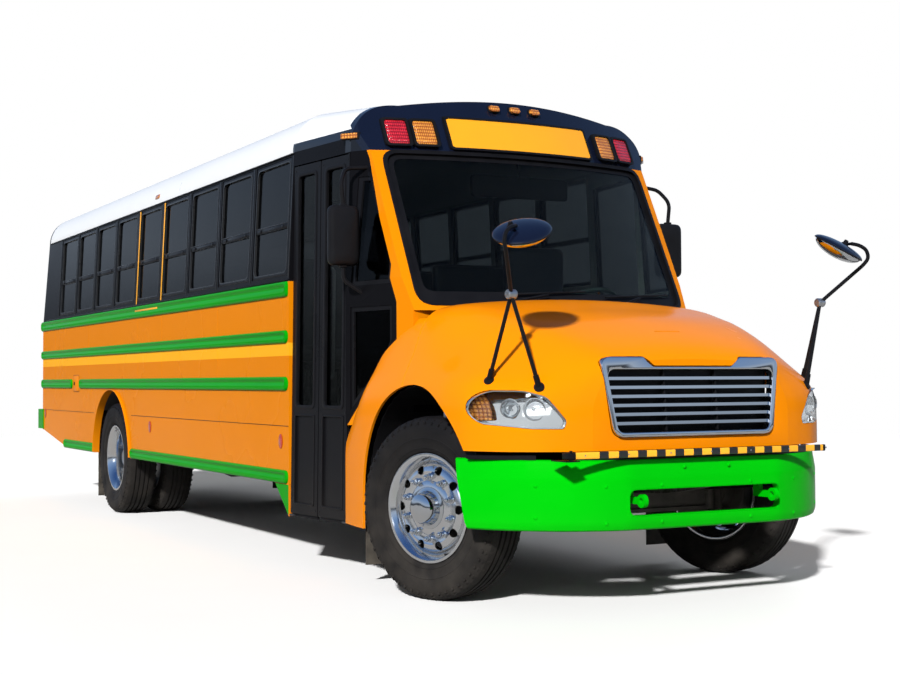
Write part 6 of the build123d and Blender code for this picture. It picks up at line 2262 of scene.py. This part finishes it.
seat = {"rows": 9, "first": 2.330, "pitch": 0.698, "x": (0.190, 1.150), "rest": 1.325, "cushionTop": 1.435,
        "backTop": 2.065, "depth": 0.400,
        "back": (0.012, 0.100), "pressure": 4.0, "driverX": 0.560, "voxel": 0.025, "frames": 12}


def softBlock(name, low, high, round, swell, welts):
    # A padded block: remeshed, blown up as cloth with a capped rise, then smoothed.
    piece = boxPiece(name, low, high, round, 3)
    mesher = piece.modifiers.new("remesh", "REMESH")
    mesher.mode = "VOXEL"
    mesher.voxel_size = seat["voxel"]
    settle(piece)
    start = [vertex.co.copy() for vertex in piece.data.vertices]
    cloth = piece.modifiers.new("cloth", "CLOTH")
    cloth.settings.use_pressure = True
    cloth.settings.uniform_pressure_force = seat["pressure"]
    cloth.settings.effector_weights.gravity = 0
    cloth.settings.quality = 4
    cloth.settings.tension_stiffness = 12
    cloth.settings.compression_stiffness = 12
    cloth.point_cache.frame_start = 1
    cloth.point_cache.frame_end = seat["frames"]
    for number in range(1, seat["frames"] + 1):
        bpy.context.scene.frame_set(number)
    shape = piece.evaluated_get(bpy.context.evaluated_depsgraph_get())
    grown = [vertex.co.copy() for vertex in shape.data.vertices]
    piece.modifiers.remove(cloth)
    bpy.context.scene.frame_set(1)
    for vertex, a, b in zip(piece.data.vertices, start, grown):
        step = b - a
        vertex.co = a + step * min(1.0, swell / max(step.length, 0.0001))
    for vertex in piece.data.vertices:
        for axis, place, width in welts:
            near = abs(vertex.co[axis] - place) / width
            if near < 1:
                middle = [(a + b) / 2 for a, b in zip(low, high)]
                thin = min(range(3), key=lambda k: high[k] - low[k])
                vertex.co[thin] += (middle[thin] - vertex.co[thin]) * 0.10 * (1 - near) ** 2
    smooth = piece.modifiers.new("smooth", "SMOOTH")
    smooth.factor = 0.5
    smooth.iterations = 3
    settle(piece)
    for axis in range(3):
        for vertex in piece.data.vertices:
            vertex.co[axis] = min(max(vertex.co[axis], low[axis]), high[axis])
    return piece


def seam(points, radius=0.0032):
    return dress(tube("seam", points, radius, 8, closed=True), "seatVinyl")


def makeSeats():
    x0, x1 = seat["x"]
    cushion = softBlock("cushion", (x0, -seat["depth"], seat["rest"]), (x1, 0.0, seat["cushionTop"]), 0.032, 0.016,
                        [(0, (x0 + x1) / 2, 0.02)])
    back = softBlock("back", (x0, seat["back"][0], seat["rest"]), (x1, seat["back"][1], seat["backTop"]), 0.036,
                     0.014,
                     [(2, seat["backTop"] - 0.20, 0.02), (0, (x0 + x1) / 2, 0.02)])
    pads = dressed((cushion, back), "seatVinyl")
    edge = frameOutline((x0, -seat["depth"]), (x1, 0.0), 0.03, -0.010)
    pads.append(seam([(a, b, seat["rest"] + 0.022) for a, b in edge]))
    edge = frameOutline((x0, seat["rest"]), (x1, seat["backTop"]), 0.05, -0.012)
    for place in (seat["back"][0] + 0.010, seat["back"][1] - 0.010):
        pads.append(seam([(a, place, b) for a, b in edge]))
    one = joined("bench", pads)
    for side, label in bothSides[::-1]:
        rows = []
        for row in range(seat["rows"]):
            place = shift(0, aft(seat["first"] + row * seat["pitch"]), 0)
            rows.append(moved(copyOf(one, "one"), place @ Matrix.Diagonal((side, 1, 1, 1))))
        whole = finished(joined(f"benches{label}", rows), None, "chassis",
                         ("seats",) if side > 0 else ())
    bpy.data.objects.remove(one)
    x, y = seat["driverX"], aft(1.480)
    cushion = softBlock("driverCushion", (x - 0.25, y - 0.47, 1.315), (x + 0.25, y, 1.435), 0.045, 0.012,
                        [(0, x - 0.13, 0.02), (0, x + 0.13, 0.02)])
    back = softBlock("driverBack", (x - 0.25, y + 0.01, 1.385), (x + 0.25, y + 0.12, 2.135), 0.048, 0.012,
                     [(0, x - 0.13, 0.02), (0, x + 0.13, 0.02), (2, 1.86, 0.02)])
    whole = finished(joined("driverPads", [cushion, back]), "seatVinyl", "chassis")


# Cab: dash top, cluster, wheel with spokes and inside mirror

def makeCab():
    parts = []
    x, y, z, radius = seat["driverX"], aft(0.905), 1.650, 0.225
    turn = shift(x, y, z) @ Matrix.Rotation(math.radians(-35), 4, "X")
    line = [(*point, 0) for point in circle(0.0, 0.0, radius, 64)]
    parts.append(dress(moved(tube("wheelRim", line, 0.0138, 16, closed=True), turn), "blackPlastic"))
    for angle in (0, 120, 240):
        way = math.radians(angle + 90)
        spoke = tube("spoke", [(0.02 * math.cos(way), 0.02 * math.sin(way), 0.004),
                               (0.22 * math.cos(way), 0.22 * math.sin(way), 0.0)], 0.0095, 12)
        parts.append(dress(moved(spoke, turn), "blackPlastic"))
    hub = moved(lathe("hub", [(-0.028, 0.0), (-0.028, 0.048), (0.008, 0.050), (0.014, 0.040), (0.017, 0.0)], 40),
                turn @ Matrix.Rotation(-math.pi / 2, 4, "Y"))
    parts.append(dress(hub, "blackPlastic"))
    start, end = Vector((x, y, z)) + Vector((0, -0.008, -0.014)), Vector((x, aft(0.725), 1.390))
    parts.append(dress(tube("column", [start, end], 0.0295, 24), "blackPlastic"))
    angles = [math.pi * k / 16 for k in range(17)]
    hood = [(x - 0.20 * math.cos(angle), 1.556 + 0.085 * math.sin(angle)) for angle in angles]
    inner = [(x + (a - x) * 0.93, 1.556 + (b - 1.556) * 0.90) for a, b in hood]
    cowl = prism("cowl", hood + list(reversed(inner)), "xz", aft(0.560), aft(0.735))
    parts.append(dress(bevelled(cowl, 0.004, 2), "dashPlastic"))
    face = prism("face", inner, "xz", aft(0.600), aft(0.606))
    parts.append(dress(face, "blackPlastic"))
    for gx in (-0.095, 0.095):
        dial = lathe("dial", [(0.0, 0.0), (0.0, 0.036), (0.006, 0.036), (0.008, 0.033), (0.008, 0.031),
                              (0.003, 0.031), (0.003, 0.0)], 32)
        moved(dial, shift(x + gx, aft(0.606), 1.590) @ Matrix.Rotation(math.pi / 2, 4, "Z"))
        parts.append(dress(dial, "brightChrome"))
    for px in (-0.60, -0.30, 0.0, 0.28):
        vent = boxPiece("vent", (px - 0.08, aft(0.40), 1.5585), (px + 0.08, aft(0.46), 1.5640), 0.002)
        parts.append(dress(vent, "blackPlastic"))
        for k in range(6):
            fin = boxPiece("fin", (px - 0.074, aft(0.4045 + k * 0.009), 1.5635),
                           (px + 0.074, aft(0.4065 + k * 0.009), 1.5665), 0.0006)
            parts.append(dress(fin, "blackPlastic"))
    glassX = 0.05
    glass = bevelled(prism("insideMirror", frameOutline((glassX - 0.36, 2.36), (glassX + 0.36, 2.50), 0.03), "xz",
                           aft(0.86), aft(0.885)), 0.006, 3)
    parts.append(dress(glass, "blackPlastic"))
    front = bevelled(prism("insideGlass", frameOutline((glassX - 0.35, 2.37), (glassX + 0.35, 2.49), 0.025), "xz",
                           aft(0.885), aft(0.8875)), 0.001)
    parts.append(dress(front, "mirrorGlass"))
    parts.append(dress(tube("stem", [(glassX, aft(0.87), 2.49), (glassX, aft(0.91), 2.62)], 0.008, 12),
                       "blackPlastic"))
    finished(joined("cabFittings", parts), None, "chassis")


makeRear()
makeSeats()
makeCab()
print("rear, seats and cab made")

print("pieces finished")
